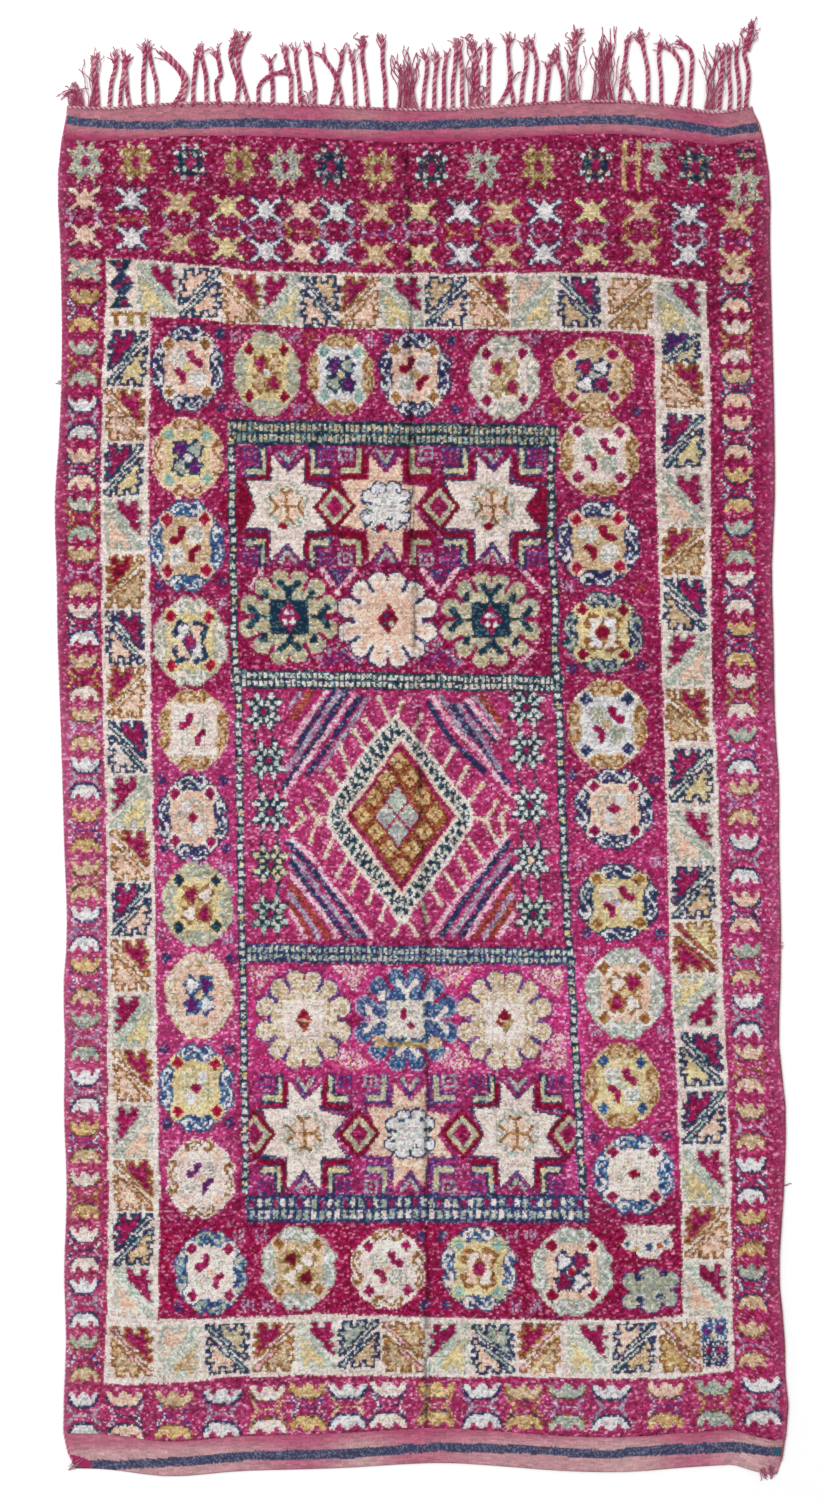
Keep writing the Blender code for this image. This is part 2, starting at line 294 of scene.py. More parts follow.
def winding():
    """Geometry Nodes that wind two plies round each path of a mesh of loose edges.

    Radius is that of a ply, Spread how far the plies stand from the middle, Flatness how low they lie,
    Twist the length of a full turn, and Step and Sides how finely a ply is made.
    """
    tree = bpy.data.node_groups.new("winding", "GeometryNodeTree")
    kinds = {"Cords": "Geometry", "Wool": "Material", "Sides": "Int"}
    for name in ("Cords", "Wool", "Sides", "Radius", "Spread", "Flatness", "Twist", "Step"):
        tree.interface.new_socket(name, in_out="INPUT", socket_type="NodeSocket" + kinds.get(name, "Float"))
    tree.interface.new_socket("Cords", in_out="OUTPUT", socket_type="NodeSocketGeometry")
    given = tree.nodes.new("NodeGroupInput").outputs
    floats = {"data_type": "FLOAT"}

    def node(kind, settings=(), **sockets):
        made = tree.nodes.new(kind)
        for key, setting in dict(settings).items():
            setattr(made, key, setting)
        for key, value in sockets.items():
            socket = made.inputs[int(key[1:]) if key[0] == "_" else key.replace("_", " ")]
            if isinstance(value, bpy.types.NodeSocket):
                tree.links.new(value, socket)
            else:
                socket.default_value = value
        return made.outputs

    def maths(operation, first, second=0.0):
        return node("ShaderNodeMath", {"operation": operation}, _0=first, _1=second)[0]

    def vector(operation, **sockets):
        return node("ShaderNodeVectorMath", {"operation": operation}, **sockets)[0]

    def stored(name):
        return node("GeometryNodeInputNamedAttribute", floats, Name=name)[0]

    thick, phase = stored("thick"), stored("phase")
    line = node("GeometryNodeMeshToCurve", Mesh=given["Cords"])[0]
    line = node("GeometryNodeSetCurveNormal", {"mode": "Z_UP"}, Curve=line)[0]
    line = node("GeometryNodeResampleCurve", {"mode": "LENGTH"}, Curve=line, Length=given["Step"])[0]
    along = node("GeometryNodeSplineParameter")[1]
    turn = maths("DIVIDE", along, given["Twist"])
    sideways = node("GeometryNodeInputNormal")[0]
    upwards = vector("CROSS_PRODUCT", _0=node("GeometryNodeInputTangent")[0], _1=sideways)
    ring = node("GeometryNodeCurvePrimitiveCircle", Resolution=given["Sides"], Radius=given["Radius"])[0]
    joined = tree.nodes.new("GeometryNodeJoinGeometry")
    for ply in (0.5, 0.0):
        angle = maths("MULTIPLY", maths("ADD", maths("ADD", turn, ply), phase), 2 * math.pi)
        out = maths("MULTIPLY", maths("MULTIPLY", maths("COSINE", angle), given["Spread"]), thick)
        up = maths("MULTIPLY", maths("MULTIPLY", maths("SINE", angle), given["Spread"]), thick)
        up = maths("MULTIPLY", up, given["Flatness"])
        offset = vector(
            "ADD", _0=vector("SCALE", _0=sideways, Scale=out), _1=vector("SCALE", _0=upwards, Scale=up)
        )
        wound = node("GeometryNodeSetPosition", Geometry=line, Offset=offset)[0]
        wound = node("GeometryNodeSetCurveRadius", Curve=wound, Radius=thick)[0]
        for name, value in (("ply", ply), ("along", along)):
            wound = node("GeometryNodeStoreNamedAttribute", floats, Geometry=wound, Name=name, Value=value)[0]
        tube = node("GeometryNodeCurveToMesh", Curve=wound, Profile_Curve=ring, Fill_Caps=True)[0]
        tree.links.new(tube, joined.inputs[0])
    real = node("GeometryNodeRealizeInstances", Geometry=joined.outputs[0])[0]
    smooth = node("GeometryNodeSetShadeSmooth", Geometry=real)[0]
    done = node("GeometryNodeSetMaterial", Geometry=smooth, Material=given["Wool"])[0]
    tree.links.new(done, tree.nodes.new("NodeGroupOutput").inputs[0])
    return tree


WINDING = winding()


def spun(name, paths, wool, sizes):
    """Cords along paths, each a list of points with how thick the cord is there, and a turn to start at."""
    points, edges, thick, phase = [], [], [], []
    for path, thickness, start in paths:
        first = len(points)
        points += [tuple(point) for point in path]
        edges += [(i, i + 1) for i in range(first, len(points) - 1)]
        thick += list(thickness)
        phase += [start] * len(path)
    mesh = bpy.data.meshes.new(name)
    mesh.from_pydata(points, edges, [])
    for key, values in (("thick", thick), ("phase", phase)):
        mesh.attributes.new(key, "FLOAT", "POINT").data.foreach_set("value", values)
    made = put_in_scene(name, mesh)
    winder = made.modifiers.new("winding", "NODES")
    winder.node_group = WINDING
    given = {"Wool": wool, **sizes}
    for socket in WINDING.interface.items_tree:
        if socket.name in given:
            winder[socket.identifier] = given[socket.name]
    wound = made.evaluated_get(bpy.context.evaluated_depsgraph_get())
    made_mesh = bpy.data.meshes.new_from_object(wound)
    made.modifiers.clear()
    made.data = made_mesh
    made_mesh.name = name
    return made


def linear(colour):
    """A dyer's colour, 0 to 255, as light."""
    share = np.asarray(colour, float) / 255
    return np.where(share <= 0.04045, share / 12.92, ((share + 0.055) / 1.055) ** 2.4)


def dye(colour):
    """The same for a shader's colour socket."""
    return (*(float(part) for part in linear(colour)), 1.0)


def cord_finish(name, pale, deep, worn):
    """Hand-spun wool: fine hairs along the ply, faded here and deeper there, and painted shade in the
    grooves, where the hair relief lies low.
    """
    cord = Finish(name, 0.92, Sheen_Weight=0.12, Sheen_Roughness=0.5)
    patches = cord.noise(cord.spot(), scale=26.0, detail=3.0, rough=0.6)
    hairs = cord.noise(cord.stretched(1.0, 0.35, 1.0), scale=1500.0, detail=3.0, rough=0.7)
    ply = cord.node("ShaderNodeAttribute", {"attribute_name": "ply"}, {}, "Fac")
    tone = cord.node(
        "ShaderNodeValToRGB",
        {"stops": ((0.32, dye(deep)), (0.5, dye(pale)), (0.70, dye(worn)))},
        {"Fac": patches + 0.52 * ply - 0.20 + 0.2 * (hairs - 0.5)},
    )
    # The colour is darkened where the hairs lie low: painted shade in the grooves.
    cord.feed("Base Color", cord.shade(tone, 0.72 + 0.56 * hairs))
    cord.relief(hairs, distance=0.0007, strength=0.7)
    return cord.material


WARP_WOOL = cord_finish("warp wool", pale=(180, 96, 122), deep=(146, 32, 82), worn=(196, 150, 150))
rng = np.random.default_rng(11)

cords = []
for number, path in enumerate(CORD_PATHS):
    line = rounded_path([on_rug(point) for point in pairs(path)], PATH_SPACING)
    along = run_along(line)
    line[:, 0] += CORD_WAVER * np.sin(along * 70 + number)
    height = CORD_LIFT + (ROOT_LIFT - CORD_LIFT) * np.exp(-along / ROOT_FALL)
    if number in CROSSING_CORDS:
        height += CROSSING_LIFT * np.exp(-(((along - 0.55 * along[-1]) / CROSSING_HALF) ** 2))
    taper = 1 - TAPER * np.clip((along - along[-1] + TAPER_LENGTH) / TAPER_LENGTH, 0, 1) ** 2
    thickness = taper * (rng.uniform(0.88, 1.08) + 0.06 * np.sin(along * 160 + 3 * number))
    cords.append((np.column_stack([line, height]), thickness, rng.random()))
fringe_cords = spun("fringe_cords", cords, WARP_WOOL, CORD_WINDING)
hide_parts("fringe")
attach(fringe_cords, "root")

# The frayed threads: single hand-spun yarns, thin and wavy, at the loose warps and at every tip.
THREAD_WINDING = dict(Radius=0.00078, Spread=0.0009, Flatness=0.8, Twist=0.03, Step=0.0075, Sides=3)
THREAD_POINTS = 11
THREAD_REST = 0.0024
THREAD_RISE = 0.0062
THREAD_SCATTER = 0.009
THREAD_WAVES = 0.0095
TIP_THREADS = 12
TIP_ROOTS = (0.006, 0.032)
TIP_LENGTHS = (0.014, 0.034)
TIP_SCATTER = 0.0016
TIP_WAVES = 0.0026


def thread(start, finish, bend, waves, gather=(0, 0), thick=1.0):
    """One loose thread on the floor, from its root to its tip, both in metres."""
    start, finish = np.asarray(start), np.asarray(finish)
    t = np.linspace(0, 1, THREAD_POINTS)
    across = np.array([finish[1] - start[1], start[0] - finish[0]])
    across = across / max(np.linalg.norm(across), 1e-6)
    turn = rng.uniform(0, 6, 2)
    swing = np.sin(t * rng.uniform(4, 8) + turn[0]) + 0.6 * np.sin(t * rng.uniform(10, 16) + turn[1])
    line = start + (finish - start) * t[:, None] + across * (waves * swing * t)[:, None]
    bowed = np.asarray(bend) * (4 * t * (1 - t))[:, None]
    line += bowed + np.asarray(gather) * (np.sin(np.pi * t) ** 2)[:, None]
    arch = np.sin(np.pi * np.clip(t, 0.08, 0.97))
    height = THREAD_REST + rng.uniform(0.0, THREAD_RISE) * arch + THREAD_REST * (1 - t)
    return np.column_stack([line, height]), np.linspace(1.15, 0.6, THREAD_POINTS) * thick, rng.random()


threads = []
for *corners, count, bend_across, bend_down in FRAYED_WARPS:
    root_a, root_b, tip_a, tip_b = np.reshape(corners, (4, 2))
    for number in range(count):
        share = (number + rng.uniform(0, 1)) / count
        root = on_rug(root_a * (1 - share) + root_b * share)
        tip = on_rug(tip_a * (1 - share) + tip_b * share)
        tip = root + (tip - root) * rng.uniform(0.62, 1.05) + rng.normal(0, THREAD_SCATTER, 2)
        gather = (rng.uniform(0, 0.8) * (0.5 - share) * STEP * (root_b[0] - root_a[0]), 0)
        bend = (STEP * bend_across, -STEP * bend_down)
        threads.append(thread(root, tip, bend, THREAD_WAVES, gather, 1.5))
for path in CORD_PATHS:
    before, tip = on_rug(path[-4:-2]), on_rug(path[-2:])
    heading = (tip - before) / np.linalg.norm(tip - before)
    for _ in range(TIP_THREADS):
        start = tip - heading * rng.uniform(*TIP_ROOTS) + rng.normal(0, TIP_SCATTER, 2)
        spread = np.array([-heading[1], heading[0]]) * rng.normal(0, 0.36)
        finish = start + (heading + spread) * rng.uniform(*TIP_LENGTHS)
        threads.append(thread(start, finish, (0, 0), TIP_WAVES))
FRAYED_WOOL = cord_finish("frayed warp wool", (186, 70, 114), (160, 28, 84), (194, 120, 138))
frayed_warps = spun("frayed_warps", threads, FRAYED_WOOL, THREAD_WINDING)
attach(frayed_warps, "root")


# The dyed wools of the pile. Each is a mix: most knots take the first colour, and the others are
# flecks of neighbouring dye lots, because hand-dyed yarn is never even.
# Each part of a mix: knots in a hundred, red, green, blue
WOOLS = {
    "field": ((49, 153, 26, 79), (20, 118, 14, 54), (20, 180, 60, 114), (11, 216, 134, 166)),
    "magenta": ((56, 160, 26, 86), (28, 124, 16, 60), (16, 190, 76, 126)),
    "crimson": ((60, 146, 8, 52), (28, 112, 6, 40), (12, 180, 44, 88)),
    "red": ((60, 176, 16, 60), (28, 142, 10, 44), (12, 204, 72, 100)),
    "wine": ((55, 114, 14, 42), (30, 138, 22, 52), (15, 88, 14, 32)),
    "navy": ((42, 38, 44, 88), (24, 26, 60, 84), (20, 76, 46, 112), (14, 128, 138, 166)),
    "indigo": ((42, 34, 50, 88), (24, 58, 42, 94), (24, 28, 82, 100), (10, 140, 148, 166)),
    "teal": ((54, 22, 54, 72), (26, 30, 38, 74), (20, 80, 116, 120)),
    "blue": ((42, 50, 96, 142), (26, 34, 62, 112), (18, 122, 162, 186), (14, 76, 62, 134)),
    "purple": ((50, 98, 30, 108), (30, 64, 34, 98), (20, 148, 60, 130)),
    "violet": ((42, 92, 60, 132), (28, 62, 48, 112), (20, 148, 116, 168), (10, 162, 34, 102)),
    "lavender": ((50, 186, 154, 190), (30, 216, 188, 210), (20, 154, 90, 150)),
    "grey": ((45, 174, 162, 184), (30, 200, 190, 202), (25, 126, 118, 154)),
    "white": ((58, 250, 244, 242), (16, 212, 216, 212), (14, 246, 216, 226), (12, 198, 204, 214)),
    "cream": ((70, 251, 231, 221), (14, 240, 220, 204), (12, 250, 212, 214), (4, 216, 210, 202)),
    "peach": ((60, 244, 204, 182), (14, 232, 176, 152), (26, 250, 220, 204)),
    "tan": ((54, 216, 186, 150), (22, 186, 150, 110), (24, 238, 212, 184)),
    "straw": ((46, 206, 190, 156), (26, 172, 156, 122), (28, 226, 212, 186)),
    "gold": ((52, 218, 182, 128), (26, 188, 146, 90), (22, 236, 208, 166)),
    "yellow": ((54, 232, 208, 156), (20, 212, 188, 130), (26, 240, 220, 188)),
    "sage": ((44, 184, 188, 170), (24, 148, 164, 152), (20, 220, 210, 196), (12, 160, 176, 184)),
    "mint": ((48, 202, 210, 196), (26, 168, 190, 178), (26, 236, 224, 210)),
    "olive": ((50, 172, 146, 90), (30, 138, 108, 56), (20, 204, 184, 134)),
    "brown": ((54, 160, 108, 58), (24, 124, 78, 40), (22, 200, 156, 108)),
    "rust": ((50, 164, 72, 54), (28, 132, 42, 42), (22, 194, 110, 88)),
    "blush": ((56, 250, 202, 216), (26, 228, 142, 180), (18, 250, 226, 228)),
    "aqua": ((56, 158, 192, 180), (26, 134, 176, 172), (18, 190, 206, 192)),
}
WOOL_NUMBER = {name: number for number, name in enumerate(WOOLS)}


class Chart:
    """The weaver's design, knot by knot: where each knot lies, in steps, and which wool it is tied in."""

    def __init__(self, x, y, wander):
        across, down = steps(x, y)
        draw = np.random.default_rng(5)
        self.across = across + 0.5 * np.sin(down / 9 + across / 31) + wander * draw.normal(0, 1, x.shape)
        self.down = down + 0.5 * np.sin(across / 11 + down / 37) + wander * draw.normal(0, 1, x.shape)
        self.chance = draw.random(x.shape)
        self.row_down = down.mean(axis=1)
        self.wool = np.zeros(x.shape, np.int8)

    def motif(self, *place):
        return Motif(self, *place)

    def whole(self):
        return Motif(self, 0, 0, 2000, 2000)


class Motif:
    """One motif's place on the chart: u to the right of its middle and v below it, in steps."""

    WAVINESS = 24

    def __init__(self, chart, across, down, wide, tall, flip_u=1, flip_v=1):
        low, high = np.searchsorted(
            chart.row_down, (down - tall - self.WAVINESS, down + tall + self.WAVINESS)
        )
        u, v = chart.across[low:high] - across, chart.down[low:high] - down
        near = np.flatnonzero((np.abs(u) < wide) & (np.abs(v) < tall))
        self.chart = chart
        self.at = near + low * chart.across.shape[1]
        self.u, self.v = u.ravel()[near] * flip_u, v.ravel()[near] * flip_v
        self.chance = chart.chance.ravel()[self.at]

    def tie(self, where, wool, share=1.0):
        """Ties the knots there in this wool, or only that share of them, scattered."""
        self.chart.wool.ravel()[self.at[where & (self.chance < share)]] = WOOL_NUMBER[wool]

    def disc(self, u, v, wide, tall):
        return ((self.u - u) / wide) ** 2 + ((self.v - v) / tall) ** 2 < 1

    def diamond(self, u, v, wide, tall):
        return np.abs(self.u - u) / wide + np.abs(self.v - v) / tall < 1

    def dot(self, u, v, wide, tall, wool, share=1.0):
        self.tie(self.disc(u, v, wide, tall), wool, share)

    def gem(self, u, v, wide, tall, wool, share=1.0):
        self.tie(self.diamond(u, v, wide, tall), wool, share)

    def blossom(self, u, v, wide, tall, size, depth, petals, turn, wool):
        """Ties a disc of this size whose edge swells into petals."""
        around = np.arctan2(self.v - v, self.u - u)
        far = np.hypot((self.u - u) / wide, (self.v - v) / tall)
        self.tie(far < size + depth * np.cos(petals * around + turn), wool)

    def tied_in(self, wool):
        """Where the knots here are tied in this wool by now."""
        return self.chart.wool.ravel()[self.at] == WOOL_NUMBER[wool]

    def block(self, left, top, right, bottom):
        return (self.u > left) & (self.u < right) & (self.v > top) & (self.v < bottom)

    def box(self, left, top, right, bottom, wool, share=1.0):
        self.tie(self.block(left, top, right, bottom), wool, share)

    def bar(self, wool, width, *points, share=1.0):
        self.tie(self.line(width, *points), wool, share)

    def line(self, width, *points):
        near = np.full(self.u.shape, np.inf)
        for (u0, v0), (u1, v1) in zip(points, points[1:]):
            du, dv = u1 - u0, v1 - v0
            share = ((self.u - u0) * du + (self.v - v0) * dv) / (du * du + dv * dv)
            share = np.clip(share, 0, 1)
            near = np.minimum(near, np.hypot(self.u - u0 - share * du, self.v - v0 - share * dv))
        return near < width / 2

    def shape(self, *points):
        inside = np.zeros(self.u.shape, bool)
        for (u0, v0), (u1, v1) in zip(points, [*points[1:], points[0]]):
            if v0 == v1:
                continue
            crosses = (self.v > min(v0, v1)) & (self.v <= max(v0, v1))
            inside ^= crosses & (self.u < u0 + (self.v - v0) * (u1 - u0) / (v1 - v0))
        return inside

    def rows(self, rows, wools, wide, tall, bold=0.0):
        """Ties a small chart of letters over a box round the middle, the last letter that much bolder."""
        letters = np.array([list(row) for row in rows])
        lines, places = letters.shape

        def read(du, dv):
            i = np.floor(((self.v + dv) / tall + 0.5) * lines).astype(int)
            j = np.floor(((self.u + du) / wide + 0.5) * places).astype(int)
            inside = (i >= 0) & (i < lines) & (j >= 0) & (j < places)
            here = letters[np.clip(i, 0, lines - 1), np.clip(j, 0, places - 1)]
            return np.where(inside, here, ".")

        plain = read(0, 0)
        for letter, wool in wools.items():
            self.tie(plain == letter, wool)
        if bold:
            for du, dv in ((bold, 0), (-bold, 0), (0, bold), (0, -bold)):
                self.tie(read(du, dv) == letter, wool)


def through(points):
    """A function along a border line of the design, given as (place, value) pairs."""
    at, value = np.array(points, float).T
    return lambda place: np.interp(place, at, value)


# The outer border: small stars and spiders across the top, crowns in facing pairs down the sides
# and along the bottom, each pair tied by a thin barred link.
# Stars: across, down, and the wools of the edge, the petals and the two inner petals
SMALL_STARS = (
    (86, 162, "sage straw straw"), (136, 162, "olive peach tan"), (190, 163, "teal white mint"),
    (240, 166, "olive peach tan"), (286, 167, "sage yellow mint"), (331, 167, "teal mint grey"),
    (378, 170, "olive peach tan"), (432, 169, "teal white sage"), (483, 168, "sage mint straw"),
    (538, 167, "olive yellow tan"), (595, 166, "teal white tan"), (695, 168, "teal mint tan"),
    (744, 189, "sage straw tan"),
)
# Spiders in pairs: across, down of the upper and of the lower one, wool
SPIDERS = (
    (85, 200, 236, "peach"), (132, 200, 238.5, "white"), (180, 204, 243.5, "tan"),
    (227.5, 208, 249, "yellow"), (266, 210.5, 251, "white"), (302, 212, 252.5, "peach"),
    (337, 212, 252.5, "white"), (377, 213, 255, "tan"), (420.5, 212.5, 255, "yellow"),
    (462.5, 212, 255, "white"), (503, 213, 255, "tan"), (544.5, 212, 254, "white"),
    (591, 212, 253, "yellow"), (641, 212, 253, "tan"), (688, 215.5, 255, "white"),
    (735, 221, 262, "tan"),
)
SIDE_CROWNS_LEFT = through(((270, 85), (500, 82), (800, 86), (1100, 86), (1431, 84)))
SIDE_CROWNS_RIGHT = through(((300, 735), (700, 741), (980, 746), (1100, 750), (1359, 752)))
# Crowns in pairs: down of the upper and of the lower one, the link's wool, the crowns' wool,
# and the lower crown's where it is another
LEFT_CROWNS = (
    (297, 325, "violet", "gold"), (348, 379, "brown", "sage"), (405, 433, "grey", "white"),
    (457, 483, "navy", "peach"), (505, 534, "brown", "sage"), (554, 590, "lavender", "tan"),
    (611, 638, "navy", "cream", "white"), (661, 694, "brown", "tan", "cream"),
    (715, 744, "lavender", "tan"), (765, 791, "grey", "white"), (814, 845, "violet", "gold"),
    (868, 893, "olive", "tan"), (914, 944, "grey", "white"), (965, 997, "violet", "gold", "tan"),
    (1019, 1053, "lavender", "sage"), (1077, 1105, "grey", "white"),
    (1128, 1156, "violet", "gold", "tan"), (1179, 1211, "brown", "cream", "gold"),
    (1234, 1263, "navy", "cream"), (1285, 1319, "grey", "white"), (1341, 1374, "violet", "sage", "tan"),
    (1399, 1431, "grey", "white"),
)
RIGHT_CROWNS = (
    (277, 306, "blue", "peach"), (328, 357, "brown", "cream"), (377, 401, "blue", "tan", "peach"),
    (423, 452, "navy", "peach"), (475, 505, "navy", "gold"), (528, 558, "brown", "grey", "sage"),
    (579, 607, "blue", "cream"), (629, 659, "blue", "gold"), (681, 710, "olive", "cream"),
    (734, 767, "violet", "sage", "white"), (788, 818, "lavender", "tan"), (842, 876, "grey", "white"),
    (899, 924, "navy", "peach"), (950, 977, "violet", "sage", "tan"), (1001, 1030, "grey", "white"),
    (1052, 1085, "brown", "peach"), (1110, 1141, "lavender", "tan"), (1164, 1195, "blue", "white"),
    (1217, 1249, "violet", "gold"), (1272, 1302, "blue", "sage", "tan"), (1328, 1359, "lavender", "tan"),
)
# The same, with across first
BOTTOM_CROWNS = (
    (125.5, 1398, 1431, "navy", "peach"), (174, 1398, 1431, "violet", "tan", "gold"),
    (222, 1396, 1429, "grey", "white"), (268, 1392, 1425, "gold", "cream"),
    (308, 1390, 1422, "violet", "gold"), (348, 1390, 1421, "tan", "white"),
    (388.5, 1388, 1419, "navy", "cream"), (436, 1389, 1418, "olive", "gold"),
    (481.6, 1390, 1420, "grey", "white"), (523.7, 1391, 1421, "brown", "tan", "gold"),
    (567, 1391, 1422, "lavender", "sage"), (611, 1391, 1422, "grey", "white"),
    (665, 1389, 1420, "violet", "peach", "gold"), (714, 1387, 1418, "brown", "sage"),
    (762, 1384, 1417, "grey", "white"),
)
OUTLINED_IN_NAVY = ("white", "grey")


def small_star(chart, across, down, wools):
    """Eight points round an open middle, each point filled with a petal."""
    edge, petal, inner = wools.split()
    star = chart.motif(across, down, 24, 28)
    star.u = np.abs(star.u)
    points = (
        (0, -12), (8.4, -23), (8.6, -12), (19, -12.5), (11.6, -1), (19, 11), (9, 12), (8.6, 23), (0, 12),
    )
    star.tie(star.shape(*points), edge, 0.88)
    for u, v in ((6.6, -15.4), (13.4, -8.6), (13.2, 7.8), (6.6, 15.4)):
        star.dot(u, v, 2.4, 2.8, petal, 0.8)
    for u, v in ((6, -7), (6, 7)):
        star.dot(u, v, 2.4, 2.8, inner, 0.7)
    star.dot(0, 0, 4, 6.4, "magenta")


def spider(chart, across, down, wool):
    legs = (((0, 0), (-14, -10.5)), ((0, 0), (14, -10)), ((0, 0), (-14, 9.5)), ((0, 0), (14.5, 10.5)))
    here = chart.motif(across, down, 22, 18)
    outlined = wool in OUTLINED_IN_NAVY
    edge = "navy" if outlined else "teal" if wool in ("yellow", "peach") else "brown"
    for (u0, v0), (u1, v1) in legs:
        here.bar(edge, 6.8, (u1 * 0.4, v1 * 0.4), (u1, v1), share=1 if outlined else 0.62)
    if outlined:
        here.gem(0, 0, 11, 13.5, edge, 0.8)
    for leg in legs:
        here.bar(wool, 3.1 if outlined else 3.8, *leg)
    here.gem(0, 0, *((8.7, 10.8) if outlined else (9.6, 11)), wool)


def link(chart, across, down, wool, half=14):
    """The barred link between two facing motifs, tied in two wools by turns so that it looks dotted."""
    here = chart.motif(across, down, half + 9, 14)
    light = {"navy": "white", "blue": "white", "violet": "white", "brown": "gold", "olive": "tan"}
    here.bar(wool, 2.2, (-half + 2, 0.5), (half - 2, 0.5), share=0.6)
    parts = np.zeros(here.u.shape, bool)
    for side, end in ((-1, -8.6), (-1, 8.4), (1, -8.6), (1, 8.4)):
        parts |= here.line(3.2, (side * (half - 3), 0), (side * (half + 3.5), end))
    here.tie(parts, wool, 0.86)
    if wool in light:
        here.tie(parts, light[wool], 0.36)


def crown(chart, across, down, wool, facing, bar, wide):
    """A crown of two horns and a round middle; facing is 1 where they go up and -1 where they go down."""
    here = chart.motif(across, down, 20, 13, 28 / wide, facing)
    points = (
        (-14.5, -7), (-10.6, -7.4), (-7.4, -1.6), (-5, -2), (-4, -5.6), (0, -7.8), (4, -5.6), (5, -2),
        (7.4, -1.6), (10.6, -7.4), (14.5, -7), (12.6, 0), (9, 4.6), (6.4, 6.4), (-6.4, 6.4), (-9, 4.6),
        (-12.6, 0),
    )
    under = here.shape(*[(u * 1.14, v * 1.06 + 2.2) for u, v in points])
    if wool in OUTLINED_IN_NAVY:
        here.tie(under & (here.v > -6), "navy")
    else:
        here.tie(under & (here.v > -3), "indigo" if bar in ("blue", "navy", "grey") else "brown", 0.8)
        here.tie(under & (here.v > 2), "navy", 0.35)
    here.tie(here.shape(*points), {"grey": "sage"}.get(wool, wool))


def crown_pair(chart, across, above, below, wide, bar, wool, other=None):
    link(chart, across, (above + below) / 2, bar, 12)
    crown(chart, across, above, wool, 1, bar, wide)
    crown(chart, across, below, other or wool, -1, bar, wide)


def tie_outer_border(chart):
    for row in SMALL_STARS:
        small_star(chart, *row)
    pair = chart.motif(631, 166, 14, 28)
    for side in (-7.5, 7.5):
        pair.bar("gold", 4.6, (side, -24), (side * 0.9, 24), share=0.9)
    pair.bar("tan", 4.4, (-8, -7), (8, -7))
    odd = chart.motif(656, 162, 17, 24)
    odd.bar("sage", 5, (-12, -15), (13, -16))
    odd.bar("sage", 6, (1, -14), (1, 17))
    odd.box(-8, 2, 10, 10, "sage")
    odd.box(-5, -12, 7, 14, "straw", 0.3)
    tiny = chart.motif(746, 154, 12, 10)
    tiny.box(-9, -4, 9, 6, "teal", 0.8)
    tiny.bar("straw", 4, (-6, 2), (6, 2), share=0.8)
    for number, (across, above, below, wool) in enumerate(SPIDERS):
        spider(chart, across, above, wool)
        spider(chart, across, below, wool)
        link(chart, across, (above + below) / 2, ("lavender", "brown", "grey", "violet")[number % 4])
    rough = chart.motif(85, 270, 22, 16)
    rough.gem(0, 0, 17, 12, "peach", 0.85)
    for v in (-9, 9):
        rough.bar("sage", 5, (-14, v), (14, -v))
    for line, crowns in ((SIDE_CROWNS_LEFT, LEFT_CROWNS), (SIDE_CROWNS_RIGHT, RIGHT_CROWNS)):
        for above, below, *wools in crowns:
            crown_pair(chart, float(line((above + below) / 2)), above, below, 28, *wools)
    for across, above, below, *wools in BOTTOM_CROWNS:
        crown_pair(chart, across, above, below, 36, *wools)


# The cream ring, and the comb-edged leaf squares on it: each is cut from corner to corner,
# with one half in a plain magenta or a second colour.
RING_OUTSIDE = (
    107, 258, 183, 264, 259, 272, 346, 274, 440, 274, 604, 273, 655, 276, 705.6, 283, 710, 367, 710, 505,
    711, 633, 712.5, 710, 716, 745, 719, 847, 721, 950, 726, 1062, 730, 1164, 732, 1307, 733.7, 1370,
    665, 1378, 604, 1378, 527, 1376, 440, 1376, 320, 1374.5, 231, 1376, 167, 1383, 104, 1383, 107, 1333,
    109, 1200, 108, 1112, 107.5, 950, 107, 820, 104, 735, 102.5, 633, 101, 500, 102, 430, 103, 382, 106, 315,
)
RING_INSIDE = (
    151, 316.5, 193, 319, 259, 325.5, 372, 329, 527, 330.5, 630, 333, 654, 336, 655, 419, 656, 495, 660, 607,
    663, 710, 667, 822, 669, 950, 675.5, 1062, 680.6, 1190, 682.6, 1315, 630, 1319, 527, 1319, 440, 1316.5,
    320, 1313, 244, 1316.5, 158.6, 1319, 160, 1190, 158, 1088, 156, 950, 155, 873, 152, 745, 151, 633,
    149, 505, 149, 480,
)
